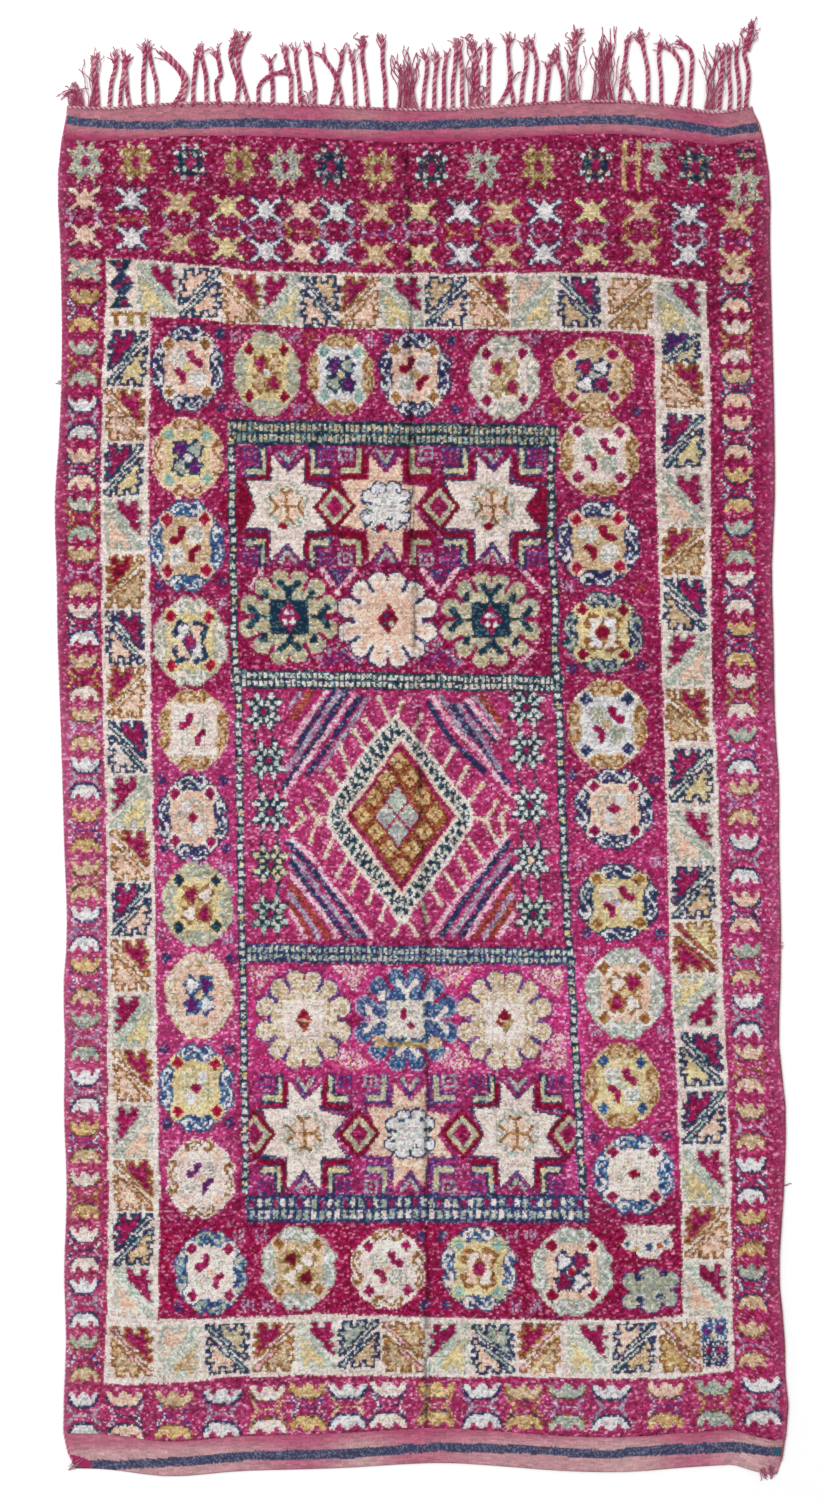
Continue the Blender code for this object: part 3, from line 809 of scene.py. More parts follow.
# across, down, wide, tall, which way the cut runs, comb wool, upper half, lower half
LEAF_SQUARES = (
    (158, 289.5, 40, 49, -1, "sage magenta yellow"), (200.5, 294, 42, 49, 1, "indigo peach peach"),
    (241.5, 298.5, 38, 49, -1, "brown magenta peach"), (281, 300, 38, 49, 1, "sage magenta yellow"),
    (320, 301.5, 39, 50, -1, "indigo tan peach"), (360, 302, 39, 50, 1, "brown magenta peach"),
    (402, 302, 42, 50, -1, "sage magenta yellow"), (446, 302, 42, 50, 1, "indigo tan peach"),
    (489, 302, 40, 50, -1, "brown magenta peach"), (533, 302, 42, 50, 1, "sage peach yellow"),
    (579, 302.5, 42, 50, -1, "indigo magenta tan"), (630, 304, 44, 50, 1, "brown peach tan"),
    (679, 307, 44, 50, -1, "sage magenta yellow"), (128, 359, 40, 55, 1, "indigo magenta yellow"),
    (125.5, 415, 40, 51, -1, "brown magenta peach"), (124, 470, 39, 52, 1, "indigo magenta yellow"),
    (124, 525, 39, 52, -1, "sage magenta peach"), (125.5, 582, 39, 53, 1, "brown crimson tan"),
    (125.5, 638, 39, 52, -1, "indigo magenta peach"), (127, 692, 39, 52, 1, "brown magenta peach"),
    (128, 747, 39, 52, -1, "indigo magenta cream"), (130.6, 802, 39, 52, 1, "sage magenta yellow"),
    (130.6, 855, 39, 50, -1, "brown magenta peach"), (132, 909, 39, 52, 1, "indigo magenta peach"),
    (130.6, 965, 39, 52, -1, "brown magenta peach"), (133, 1021, 39, 52, 1, "sage magenta yellow"),
    (133, 1075, 39, 51, -1, "brown magenta peach"), (133, 1131, 39, 52, 1, "sage magenta peach"),
    (134, 1184.5, 40, 51, -1, "brown magenta peach"), (134, 1239, 40, 52, 1, "indigo magenta tan"),
    (134, 1292, 40, 50, -1, "mint magenta peach"), (132, 1351, 42, 50, -1, "brown magenta tan"),
    (180, 1351, 42, 50, 1, "mint peach tan"), (227.5, 1348, 43, 50, -1, "indigo straw peach"),
    (274, 1346, 41, 49, 1, "brown magenta tan"), (317, 1344.5, 39, 48, -1, "mint magenta yellow"),
    (359, 1343, 41, 48, 1, "indigo sage tan"), (403.5, 1346, 42, 50, -1, "brown tan tan"),
    (448.5, 1347, 42, 50, 1, "mint magenta yellow"), (493, 1348, 42, 50, -1, "indigo sage peach"),
    (539, 1347, 42, 50, 1, "brown magenta tan"), (587.5, 1348, 42, 50, -1, "mint magenta yellow"),
    (634, 1347, 43, 50, 1, "indigo peach tan"), (680, 1346, 42, 50, -1, "brown tan gold"),
    (680.6, 349, 38, 30, 1, "indigo purple straw"), (682, 386, 42, 44, -1, "brown magenta peach"),
    (683, 441, 42, 53, 1, "indigo magenta yellow"), (683, 500, 42, 52, -1, "sage magenta peach"),
    (683, 552, 42, 47, 1, "brown magenta tan"), (684.5, 605, 43, 51, -1, "indigo magenta tan"),
    (687, 659, 43, 51, 1, "sage magenta peach"), (687, 715, 43, 52, -1, "brown magenta tan"),
    (691, 776, 43, 53, 1, "indigo magenta yellow"), (692, 836, 43, 52, -1, "sage magenta peach"),
    (693, 892, 43, 52, 1, "indigo magenta tan"), (694.6, 947, 43, 51, -1, "brown yellow magenta"),
    (696, 1001, 43, 50, 1, "sage yellow magenta"), (701, 1059, 43, 53, -1, "indigo magenta yellow"),
    (703.6, 1117, 43, 52, 1, "indigo magenta peach"), (703.6, 1175.5, 43, 53, -1, "sage magenta yellow"),
    (706, 1232, 43, 51, 1, "brown magenta peach"), (706, 1288, 43, 52, -1, "mint magenta peach"),
)

LEAF_TOP = (
    "..ooooo..ooooo..oooo",
    "..oaaao..oaaao..ollo",
    "..oaaao..oaaao.oollo",
    "..oaaaoooaaaoo.ollo.",
    "..oaaaaaaaaaaoollo..",
    "ooooaaaaaaaaaollo...",
    "oaaaaaaaaaaaollo....",
    "oaaaaaaaaaaollo..ooo",
    "oooaaaaaaaollo..oobo",
    "..oaaaaaaollo..oobbo",
    "..oaaaaaollo..oobooo",
    "ooooaaaollo..oobbbo.",
    "oaaaaaollo.oobbbbbo.",
)
TURNED = str.maketrans("ab", "ba")
LEAF_CHART = (*LEAF_TOP, *(row[::-1].translate(TURNED) for row in reversed(LEAF_TOP)))


def tie_ring(chart):
    everywhere = chart.whole()
    ring = everywhere.shape(*pairs(RING_OUTSIDE)) & ~everywhere.shape(*pairs(RING_INSIDE))
    everywhere.tie(ring, "cream")
    for across, down, wide, tall, cut, wools in LEAF_SQUARES:
        comb, upper, lower = wools.split()
        square = chart.motif(across, down, wide * 0.6, tall * 0.6, cut)
        cut_wool = ("blush" if down > 1300 else lower) if comb == "brown" else "mint"
        letters = {"a": upper, "b": lower, "l": cut_wool, "o": comb}
        square.rows(LEAF_CHART, letters, wide, tall, 0.3 if comb == "brown" else 0.45)
        if comb in ("sage", "mint"):
            for letter, wool in (("a", upper), ("b", lower)):
                square.rows(LEAF_CHART, {letter: wool}, wide, tall, 0.5 if wool == "magenta" else 0.0)
    glass = chart.motif(121.6, 284.5, 15, 25)
    glass.tie(glass.shape((-13, -24), (13, -24), (0, -8)) | glass.shape((-13, 24), (13, 24), (0, 8)), "teal")
    glass.gem(0, 0, 13, 15, "indigo")
    for spot in ((-4, 2, 3.8, 3.6), (5, -3, 3.8, 3.4), (-2, -19, 4, 3), (3, 19, 4, 3)):
        glass.dot(*spot, "magenta")
    comb = chart.motif(129, 320, 20, 8)
    comb.box(-18, -7, 18, -3, "brown")
    for u in (-12, 2, 15):
        comb.box(u - 3, -4, u + 3, 7, "brown" if u < 0 else "olive")
    narrow = chart.motif(714.5, 1341, 15, 26)
    for top, wool in ((-24, "blue"), (0, "navy")):
        narrow.box(-13, top, 13, top + 25, wool, 0.78)
    for wool, *spots in (("purple", (-7, -11), (5, -13)), ("magenta", (-6, 9), (5, 8)), ("straw", (-1, -6))):
        for u, v in spots:
            narrow.dot(u, v, 3.6, 3.4, wool)


# The medallions in the field: an eight-sided flower with a scrolled arc on each flat side,
# a small diamond at each corner, and a heart tied in one of four ways.
ARC = (
    "....dddddd.xx.ddd...",
    "..ddwwwwwwddxdwwwd..",
    ".dwwwdddwwwdddddwwd.",
    "dwwddwwdddwwddddwwwd",
    "dwwdwwddddddwwddwwwd",
    "dwwwdddwwdddwwwwwwd.",
    ".dwddddddddddwwwwd..",
    "..dddd....ddddddd...",
    "....................",
)
# across, down, wide, tall, arc wools (dark, light), body, corners, heart, its three wools
MEDALLIONS = (
    (188, 369, 72, 86, "navy white peach brown", 1, "hooks white magenta yellow sage"),
    (267, 374, 66, 84, "sage straw yellow crimson", 1, "bloom brown magenta tan white"),
    (341, 375, 66, 80, "tan brown white aqua", 1, "bloom indigo purple sage yellow"),
    (415, 375, 72, 84, "navy white peach brown", -1, "hooks white crimson gold sage"),
    (504.6, 378, 70, 84, "sage cream cream magenta", 1, "bloom olive magenta tan tan"),
    (592.6, 376.5, 80, 76, "tan brown tan magenta", 1, "bloom navy magenta white sage"),
    (188, 458, 72, 80, "peach brown yellow aqua", 1, "bloom indigo purple sage white"),
    (187, 546, 74, 92, "blue white tan red", -1, "hooks white crimson tan sage"),
    (190.5, 642, 74, 88, "sage cream yellow red", 1, "wreath indigo white peach magenta"),
    (194, 730, 70, 82, "tan brown cream no", -1, "hooks cream magenta peach sage"),
    (193, 818, 70, 86, "navy white peach magenta", 1, "spot white magenta sage mint"),
    (198, 904, 72, 84, "sage straw yellow teal", 1, "bloom brown magenta cream tan"),
    (199.4, 995, 68, 88, "tan cream peach no", -1, "bloom blue purple white yellow"),
    (197, 1087.5, 74, 86, "blue white yellow red", -1, "spot white magenta sage mint"),
    (201, 1178, 68, 80, "cream brown cream peach", -1, "hooks cream purple peach sage"),
    (211, 1272, 72, 84, "blue sage cream magenta", -1, "hooks cream magenta peach sage"),
    (299, 1267, 74, 82, "sage white tan brown", 1, "bloom olive wine cream cream"),
    (388, 1268, 74, 80, "cream brown cream magenta", 1, "hooks sage magenta peach cream"),
    (479, 1268, 76, 84, "blue cream yellow aqua", 1, "wreath brown cream peach magenta"),
    (572, 1270.6, 80, 88, "sage white peach crimson", -1, "bloom navy magenta white red"),
    (599, 455.6, 80, 82, "tan brown cream magenta", 1, "hooks sage magenta tan mint"),
    (598, 544, 82, 86, "navy white tan red", 1, "hooks white crimson tan mint"),
    (603, 633, 80, 80, "indigo sage yellow crimson", 1, "wreath brown cream white crimson"),
    (607, 725, 80, 90, "tan brown white navy", 1, "hooks sage magenta tan straw"),
    (614, 809, 78, 80, "navy white peach magenta", -1, "spot white magenta sage mint"),
    (618, 902, 80, 78, "indigo white yellow brown", 1, "hooks cream magenta lavender mint"),
    (624.5, 993, 78, 90, "sage white peach brown", -1, "bloom brown magenta cream yellow"),
    (622, 1085, 74, 84, "tan brown yellow blue", 1, "hooks white magenta mint sage"),
    (633.4, 1174, 80, 80, "blue white cream magenta", -1, "spot cream crimson sage straw"),
)


def heart_hooks(here, lobe, hook, dot, speck):
    for u, v in ((-9, -10.5), (9.5, 10)):
        here.dot(u, v, 8.4, 9.2, lobe, 0.86)
        here.dot(u, v, 7.4, 8, speck, 0.3)
    here.dot(-0.5, -0.5, 4.2, 4, dot)
    here.bar(hook, 6, (4, -14), (5.5, -8), (11, -4.5))
    here.bar(hook, 6.4, (-10, 3), (-4.8, 6.2), (-4.6, 13.5))
    for end in ((4, -14.5, 4.4, 4.2), (11.5, -5.4, 4.6, 4.6), (-10, 2.6, 3.6, 3.4)):
        here.dot(*end, hook)


def heart_bloom(here, edge, first, second, dot):
    for u, v, core in ((-7.4, -10, first), (7.4, 10, first), (7.4, -9.5, second), (-7.4, 9.5, second)):
        here.blossom(u, v, 8.2, 9.8, 1, 0.18, 5, u, edge)
        here.blossom(u, v, 8.2, 9.8, 0.68, 0.14, 3, v, core)
    here.dot(0, 0, 3.6, 3.6, dot)


def heart_spot(here, blob, spot, faint, second):
    here.dot(0, 0, 17, 20, faint, 0.24)
    here.tie(here.disc(0, 0, 17, 20) & (here.chance > 0.9), second)
    here.dot(-6, -10.5, 4.4, 6.4, blob)
    here.dot(5.6, 10, 5, 7, blob)
    here.dot(0, 0, 4.8, 4.8, spot)
    here.gem(0, 0, 7, 6, spot)


def heart_wreath(here, edge, petal, other, core):
    for u, v, wool in ((-8.5, -11, petal), (8.5, 11, petal), (8.5, -11, other), (-8.5, 11, other)):
        here.blossom(u, v, 8.8, 9.8, 1, 0.14, 4, v, edge)
        here.bar(wool, 6.4, (u * 0.42, v * 1.22), (u * 1.1, v * 0.36))
        here.dot(u * 1.16, v * 1.16, 2.6, 2.8, wool)
    here.dot(0, 0, 6.4, 6.8, "violet" if edge == "indigo" else core)
    here.dot(0, 0, 4.8, 5.4, core)


HEARTS = {"hooks": heart_hooks, "bloom": heart_bloom, "spot": heart_spot, "wreath": heart_wreath}


def medallion(chart, across, down, wide, tall, flower, facing, middle):
    dark, light, body, corner = flower.split()
    heart, *wools = middle.split()
    here = chart.motif(across, down, wide * 0.62, tall * 0.62)
    here.u, here.v = here.u / (wide / 72), here.v / (tall / 86)
    rim = {"peach": "cream", "tan": "peach", "white": "white", "yellow": "yellow", "cream": "cream"}[body]
    eight = (np.abs(here.u / 33) ** 2.6 + np.abs(here.v / 39) ** 2.6) < 1
    here.tie(eight, rim)
    here.tie(eight & ~here.disc(0, 0, 31.6, 36.6), dark, 0.75)
    here.dot(0, 0, 27, 31, body)
    here.box(-21, -26, 21, 26, body)
    u, v = here.u, here.v
    letters = {"w": light, "x": "field", "d": dark}
    bold = 0.3 if light == "white" else 0.0
    for du, dv, turned, flip in ((0, -34, 0, 1), (0, 34, 0, -1), (-28.5, -1, 1, 1), (28.5, 1, 1, -1)):
        if turned:
            here.u, here.v = (v - dv) * flip, (u - du) * flip
            here.rows(ARC, letters, 43, 15.5, bold)
        else:
            here.u, here.v = (u - du) * flip, (v - dv) * flip
            here.rows(ARC, letters, 34, 18.5, bold)
    here.u, here.v = u, v
    if corner in WOOLS:
        for du, dv in ((-19, -24.5), (18, -24.5), (-18.5, 23.5), (19, 23)):
            here.dot(du, dv, 7.4, 8, rim)
            here.tie(here.diamond(du, dv, 6.2, 7.2) | here.disc(du, dv, 3.6, 4.2), corner)
    here.u = u * facing
    HEARTS[heart](here, *wools)


# Small fillers between the medallions: blue specks, pale barred marks and brown crosses.
BLUE_SPECKS = (
    220, 334, 221, 408, 386, 340, 452, 341, 455, 411, 636, 411, 161, 585, 222, 582, 161, 779, 224, 780,
    165, 847, 227, 847, 166, 957, 232, 958, 165, 1048, 229, 1049, 166, 1123, 230, 1123, 571, 669, 641, 666,
    573, 775, 654, 779, 586, 933, 659, 933, 594, 1137, 665, 1136, 178, 1307, 421, 1236, 442, 1235, 425, 1304,
    446, 1304,
)
PALE_MARKS = (
    236, 336, 239, 408, 295, 338, 299, 410, 368, 341, 468, 341, 474, 412, 534, 341, 538, 411, 157, 604,
    221, 604, 162, 870, 226, 870, 162, 934, 227, 939, 567, 586, 581, 862, 655, 863, 590, 952, 659, 953,
    596, 1030, 663, 1031, 240, 1235, 262, 1235, 249, 1305, 268, 1305, 512, 1235, 531, 1235, 516, 1306,
    535, 1305,
)
BROWN_CROSSES = ((310, 339), (313, 411), (557, 411), (633, 345), (642, 587))


def tie_field(chart):
    for row in MEDALLIONS:
        medallion(chart, *row)
    for across, down in pairs(BLUE_SPECKS):
        speck = chart.motif(across, down, 8, 8)
        speck.tie(speck.block(-4, -4.6, 4, 4.6) | speck.diamond(0, 0, 6.5, 6.5), "navy", 0.85)
        speck.dot(0, 0, 4, 5, "violet", 0.34)
    for across, down in pairs(PALE_MARKS):
        mark = chart.motif(across, down, 9, 9)
        mark.bar("lavender", 2, (0, -5), (0, 5), share=0.7)
        for bar in (((-5, -5.5), (-4, 5.5)), ((4, -5.5), (5, 5.5)), ((-4, 0), (4, 0))):
            mark.bar("lavender", 2.2, *bar, share=0.7)
    for across, down in BROWN_CROSSES:
        cross = chart.motif(across, down, 8, 8)
        for u in (-5, 5):
            cross.bar("rust", 2.6, (u, -5), (-u, 5), share=0.8)
    half = chart.motif(649, 1240, 34, 22)
    outline = (
        (-28, -15.5), (-21.5, -6), (-28, 4), (-23, 9.5), (-14, 11), (-9, 16.5), (8.5, 17), (12, 10), (24, 7),
        (20.5, -7.5), (29, -15.5),
    )
    half.tie(half.shape(*outline), "cream")
    half.tie(half.shape(*outline), "sage", 0.25)
    for spot in ((-21, 3.5, 3.2, 2), (0.5, 6, 3.4, 4.4), (17.5, 1.5, 3.2, 1.8)):
        half.dot(*spot, "blue")
    half.dot(11, 5, 3, 3, "rust")
    half.dot(-13, 7.5, 3.4, 2.6, "gold")
    flower = chart.motif(649, 1288, 36, 30)
    lobes = (
        (-1, -15, 11.5, 9), (21, -8, 10, 10), (20, 10, 10, 9.5), (2, 17, 11, 8.4), (-18, 12, 10, 8.4),
        (-18, -8, 10.5, 9),
    )
    for grow, wool in ((1.0, "violet"), (0.84, "sage")):
        for u, v, wide, tall in lobes:
            flower.dot(u, v, wide * grow, tall * grow, wool)
    flower.dot(0, 0, 20, 15, "sage")
    flower.tie(flower.disc(0, 0, 26, 22) & flower.tied_in("sage"), "straw", 0.22)
    for u, v in ((-10.5, -12), (14.5, -15), (-9, 10), (11, 7.5)):
        flower.dot(u, v, 4.4, 3.4, "navy")


# The middle of the rug: three panels in a frame of teal and navy ladders. The upper and the lower one
# have eight-pointed stars and notched flowers, and the middle one a great diamond with rays.
# Each band of the frame: its upper and lower edge, its ground wool and its squares' wools
BANDS = (
    (((228, 420), (558, 425)), ((228, 445), (558, 448)), "teal", "straw sage"),
    (((232, 669), (440, 674), (563, 675)), ((232, 688), (440, 690.5), (563, 693)), "teal", "mint cream"),
    (((240, 943), (568, 948)), ((240, 962), (568, 965)), "navy", "mint sage"),
    (((246, 1194), (588, 1194)), ((246, 1222), (588, 1222)), "navy", "cream sage magenta mint"),
)
# Each post: its middle line, its width and the pitch of its squares
POSTS = (
    (((445, 231.5), (662, 235), (690, 238.5), (942, 242), (960, 243), (1190, 246)), 7.4, 8.8),
    (((560, 551), (580, 554.5), (665, 555), (693, 558), (930, 567), (965, 571), (1190, 582)), 8.4, 9.5),
)
TILE_PITCH = 7.8
LADDER_PITCH = 5.4


def tie_frame(chart):
    rug = chart.whole()
    across, down = rug.u, rug.v
    for upper, lower, ground, squares in BANDS:
        top = through(upper)(across)
        share = (down - top) / (through(lower)(across) - top)
        inside = (share > 0) & (share < 1) & (across > upper[0][0]) & (across < upper[-1][0])
        rug.tie(inside, ground)
        rug.tie(inside & (rug.chance > (0.8 if ground == "navy" else 0.97)), "blue")
        wools = squares.split()
        pitch = LADDER_PITCH if len(wools) == 2 else TILE_PITCH
        tile = np.floor(across / pitch)
        on = inside & ((across % pitch) < pitch * 0.6)
        for row, place in ((0, 0.29), (1, 0.71)):
            pick = (tile * 5 + row * 3 + np.floor(tile / 3)) % len(wools)
            for number, wool in enumerate(wools):
                rug.tie(on & (np.abs(share - place) < 0.145) & (pick == number), wool, 0.93)
    for middle, wide, pitch in POSTS:
        off = np.abs(across - through(middle)(down))
        inside = (off < wide / 2) & (down > 437) & (down < 1192)
        rug.tie(inside & ((down < 1147) | (down > 1154) | (across > 400)), "teal")
        rug.tie(inside & (down > 690), "navy", 0.4)
        square = inside & (off < 2.4) & ((down % pitch) < pitch * 0.6)
        rug.tie(square, "mint", 0.92)
        rug.tie(square, "white", 0.36)
        rug.tie(square & (np.floor(down / pitch) % 6 == 2), "yellow", 0.92)


BIG_STAR = (
    (-15.5, -52), (0, -33), (15.5, -49), (15, -23), (39, -18), (26, 1), (40, 23), (16.5, 23), (14.5, 55),
    (0, 35), (-16, 54), (-17, 23), (-41, 20), (-31, -1), (-41, -26), (-16, -26),
)


def snowflake(star):
    turns = [(math.cos(angle), math.sin(angle)) for angle in np.radians(np.arange(22, 360, 45))]
    for c, s in turns:
        star.dot(16 * c, 17 * s - 1, 7.4, 7.2, "sage", 0.72)
    for c, s in turns:
        star.dot(15 * c, 16 * s - 1, 4.4, 4.2, "cream", 0.7)
        star.dot(12 * c, 12.5 * s - 1, 5, 5, "tan", 0.5)
    star.dot(0, -1, 12.5, 13, "peach", 0.8)
    for line in (
        ((-10, 0), (10, 0)), ((-17.5, -9), (-10, 0), (-17.5, 8)), ((14.5, -8.5), (10, 0), (15, 8)),
        ((-1, -12), (0, 12)), ((-6.5, -17), (-1, -12), (4, -17)), ((-5.5, 17), (0, 12), (5.5, 17)),
    ):
        star.bar("brown", 2.8, *line)


def blue_flower(star, petal, core):
    lobes = ((-6.5, -17), (7, -18), (-16.5, -9), (16.5, -10), (-16.5, 10), (16.5, 10), (-7, 16), (8, 16))
    for u, v in lobes:
        star.dot(u, v, 9.4, 8.8, core)
    for u, v in lobes:
        star.dot(u, v, 7.4, 6.8, petal)
    star.dot(0, 0, 19, 18, petal)
    star.tie(star.disc(0, 0, 22, 20) & star.tied_in(petal), "mint", 0.26)
    for u, v in ((0, -16), (-14, -3), (14, -4), (-13, 15), (14, 14), (0, 15)):
        star.bar(core, 2.5, (u * 1.05, v * 1.05), (u * 1.5, v * 1.45))
    for u, v in ((-9, -13), (12, -15), (-17, 6), (18, 5), (5, 12)):
        star.dot(u, v, 3.4, 2.4, core, 0.7)


def star_panel(chart, middle, reach, stars, gems):
    """A row of eight-pointed stars with lozenges between them and angled brackets round them."""
    for across, wool, wide in stars:
        pale = wool == "peach"
        for flip_u in (-1, 1):
            for flip_v in (-1, 1):
                nook = chart.motif(across, middle, 56, reach, flip_u, flip_v)
                nook.u = nook.u / wide
                edge = "navy" if not pale else "crimson" if middle < 700 else "violet"
                nook.tie(nook.block(20.4, -70, 29, -30) | nook.block(20.4, -41, 43, -30), edge)
                nook.bar(edge, 3.4, (17.5, -44), (19, -27), (44, -23.5))
                if middle < 700 or not pale:
                    nook.bar("crimson", 5, (18.6, -50), (20.6, -29), (44, -27))
                bracket = nook.block(22.6, -58, 27.6 if pale else 25.8, -33)
                bracket |= nook.block(22.6, -38.4, 41.5, -33)
                nook.tie(bracket, "straw" if pale else "yellow")
                nook.tie(bracket, "sage", 0.3 if pale else 0.45)
                nook.box(31, -59, 44.5, -46, "grey" if pale else "violet")
                nook.box(33.6, -56.6, 42, -48.4, "magenta")
                nook.box(36, -54, 39.6, -51, "grey" if pale else "violet")
        star = chart.motif(across, middle, 56, 62)
        outline = [(u * (wide if abs(u) > 20 else 1.04), v) for u, v in BIG_STAR]
        if not pale:
            star.tie(star.shape(*[(u * 1.06, v * 1.05) for u, v in outline]), "navy")
        star.tie(star.shape(*outline), wool)
        for facing in (1, -1):
            notch = chart.motif(across, middle, 20, 62, 1, facing)
            notch.bar("violet", 2.8, (-10, -56), (0, -38.5), (10, -56))
            notch.bar("sage", 3.8, (-7, -55), (0, -45), (7, -55), share=0.85)
        if pale:
            blue_flower(star, "white", "navy")
        else:
            snowflake(star)
        star.tie(star.disc(-5, 20, 5, 3.6) & (middle < 700), "crimson")
    for across, first, last in gems:
        gem = chart.motif(across, middle, 24, 27)
        shown = (gem.u > first) & (gem.u < last)
        for wide, tall, wool, share in (
            (22, 26, "wine", 1), (19.5, 23.5, "crimson", 1), (16, 19, "straw", 1), (14, 17, "sage", 0.5),
            (9.5, 12, "magenta", 1),
        ):
            gem.tie(gem.diamond(0, 0, wide, tall) & shown, wool, share)


HOOKED_LOBES = (
    (-9.2, -37.5), (8.8, -37), (25.5, -28.5), (38.5, -12), (39, 12), (26.5, 27.5), (9.2, 37),
    (-9.2, 37.5), (-26.5, 27.5), (-40, 11.5), (-39.5, -12), (-25.5, -29.5),
)
NOTCHES = [
    ((u0 + u1) / 2, (v0 + v1) / 2)
    for (u0, v0), (u1, v1) in zip(HOOKED_LOBES, [*HOOKED_LOBES[1:], HOOKED_LOBES[0]])
]


def cloud(here, edge, fill, inner, notch):
    """A flower head of twelve rounded lobes in four pairs and four single ones, notched between them."""
    for u, v in HOOKED_LOBES:
        here.dot(u, v, 11.4, 11, edge)
    here.dot(0, 0, 37, 34, edge)
    for number, (u, v) in enumerate(NOTCHES):
        here.bar("field", 4.6 if number % 3 else 3, (u * 1.08, v * 1.08), (u * 1.4, v * 1.4))
    for u, v in HOOKED_LOBES:
        here.dot(u, v, 9.8, 9.4, fill)
    here.dot(0, 0, 34, 31, fill)
    if inner != fill:
        for u, v in HOOKED_LOBES:
            here.bar(inner, 7, (u * 0.5, v * 0.5), (u * 0.97, v * 0.97))
        here.dot(0, 0, 28, 27, inner)
    for number, (u, v) in enumerate(NOTCHES):
        if number % 3:
            here.bar(notch, 4, (u * 0.86, v * 0.86), (u * 1.14, v * 1.14))
        else:
            here.bar("magenta", 2.6, (u * 1.04, v * 1.04), (u * 1.2, v * 1.2))


def arms(here, wool, width, stem):
    """Four forked arms from the square in the middle, and a bit between each two."""
    for (u0, v0), (u1, v1), ends in (
        ((0, -17), (-1, -25), ((-9, -34), (8.5, -34))), ((1, 17), (1, 23), ((-9, 31.5), (10, 32))),
        ((-19, 0), (-30, 0), ((-38.5, -9), (-39, 9.5))), ((18, -1), (30, 0), ((38, -9.5), (38, 9.5))),
    ):
        here.bar(wool, stem if u0 * u0 > 9 else width, (u0, v0), (u1, v1))
        for end_u, end_v in ends:
            here.bar(wool, width, (u1, v1), (end_u, end_v))
            here.dot(end_u, end_v, width / 2 + 0.8, 3.4, wool)
    for u, v in ((-24, -22), (22.5, -21.5), (-25, 21), (25, 22.5)):
        here.tie(here.block(u - 3, v - 5, u + 3, v + 4) | here.block(u - 5, v, u + 3, v + 4.5), wool)


def gem_dots(here, core, dots):
    here.gem(0, 0, 11, 15.5, core)
    for (u, v), wool in zip(((-2.8, -4.6), (3, -4.2), (-3.6, 4.4), (3.4, 4.6)), dots):
        here.dot(u, v, 2.5, 2.7, wool)


def teal_hearted(chart, across, down):
    here = chart.motif(across, down, 58, 54)
    cloud(here, "magenta", "straw", "straw", "magenta")
    here.tie((here.chance < 0.1) & here.tied_in("straw"), "gold")
    here.tie((here.chance > 0.62) & here.tied_in("straw"), "sage")
    arms(here, "teal", 6.2, 3)
    here.box(-19, -17.6, 19, 17.6, "teal")
    gem_dots(here, "magenta", ("white", "grey", "white", "white"))


def peach_hearted(chart, across, down):
    here = chart.motif(across, down, 58, 54)
    cloud(here, "navy", "cream", "peach", "navy")
    gem_dots(here, "crimson", ("navy", "wine", "navy", "mint"))


def square_hearted(chart, across, down, lower):
    here = chart.motif(across, down, 60, 58)
    here.u, here.v = here.u / 0.96, here.v / 1.04
    cloud(here, "violet", "tan", "tan", "violet")
    here.tie(here.tied_in("tan"), "straw", 0.25)
    here.tie(here.tied_in("tan") & (here.chance > 0.68), "cream")
    here.box(-21, -18, 21, 19, "cream")
    for u, v in HOOKED_LOBES[::2]:
        here.bar("cream", 2.2, (u * 0.45, v * 0.45), (u * 0.8, v * 0.8), share=0.7)
    here.gem(0, 0, 9.5, 12.5, "crimson")
    here.tie(here.diamond(0, 0, 9.5, 12.5) & (here.u + here.v > 1), lower)
    here.bar("tan", 1.8, (-7, -1), (7, 2))


def blue_hearted(chart, across, down):
    here = chart.motif(across, down, 60, 58)
    here.u, here.v = here.u / 1.02, here.v / 1.08
    cloud(here, "lavender", "blue", "blue", "magenta")
    here.tie(here.tied_in("blue"), "grey", 0.18)
    arms(here, "cream", 4.0, 2.0)
    here.box(-20, -17, 17, 17, "cream")
    here.box(-20, -17, 17, 17, "sage", 0.25)
    here.dot(-3.5, -5, 3.6, 6, "magenta")
    here.dot(4, 6, 4.4, 3.4, "magenta")
    here.box(-19, 21, 19, 26, "olive")
    here.dot(-26, 20.5, 7, 6, "tan")
    here.dot(27, 21.5, 7, 6, "tan")


# The rays: where each leaves the diamond and where it ends
RAYS = (
    (388, 717, 379.6, 699), (376, 734.6, 365, 720.4), (365.4, 748.7, 353.5, 731), (350, 771, 340.4, 746.5),
    (341.5, 789, 329.6, 770), (330.6, 801, 319.8, 785.6), (327, 818, 318, 820), (318, 820, 306, 801),
    (318, 820, 311, 840), (303.5, 818, 297, 808), (303.5, 818, 292.6, 829), (334, 835.6, 324, 857.4),
    (348, 855, 338, 875), (361, 868, 350, 892), (374, 885.6, 367.6, 903), (387, 901, 381.7, 918),
    (400, 922, 393.7, 933.5), (396, 717.5, 402.4, 701.7), (413, 733, 420.3, 716.4),
    (425.5, 747, 431.8, 731), (442.4, 768, 451.8, 750), (457, 788, 466.6, 768), (468, 802.7, 482.3, 785),
    (474, 818, 487, 820), (486.5, 819.5, 496, 801.7), (500, 817.4, 506.5, 807), (501.3, 817, 505.5, 834),
    (486.5, 821, 497, 840), (470.8, 842.4, 481.3, 860), (460, 860, 467.6, 876), (445.5, 875, 457, 890),
    (430.8, 886.6, 440.2, 904), (423.4, 905.5, 427.6, 920), (408.7, 921.3, 416, 934),
)
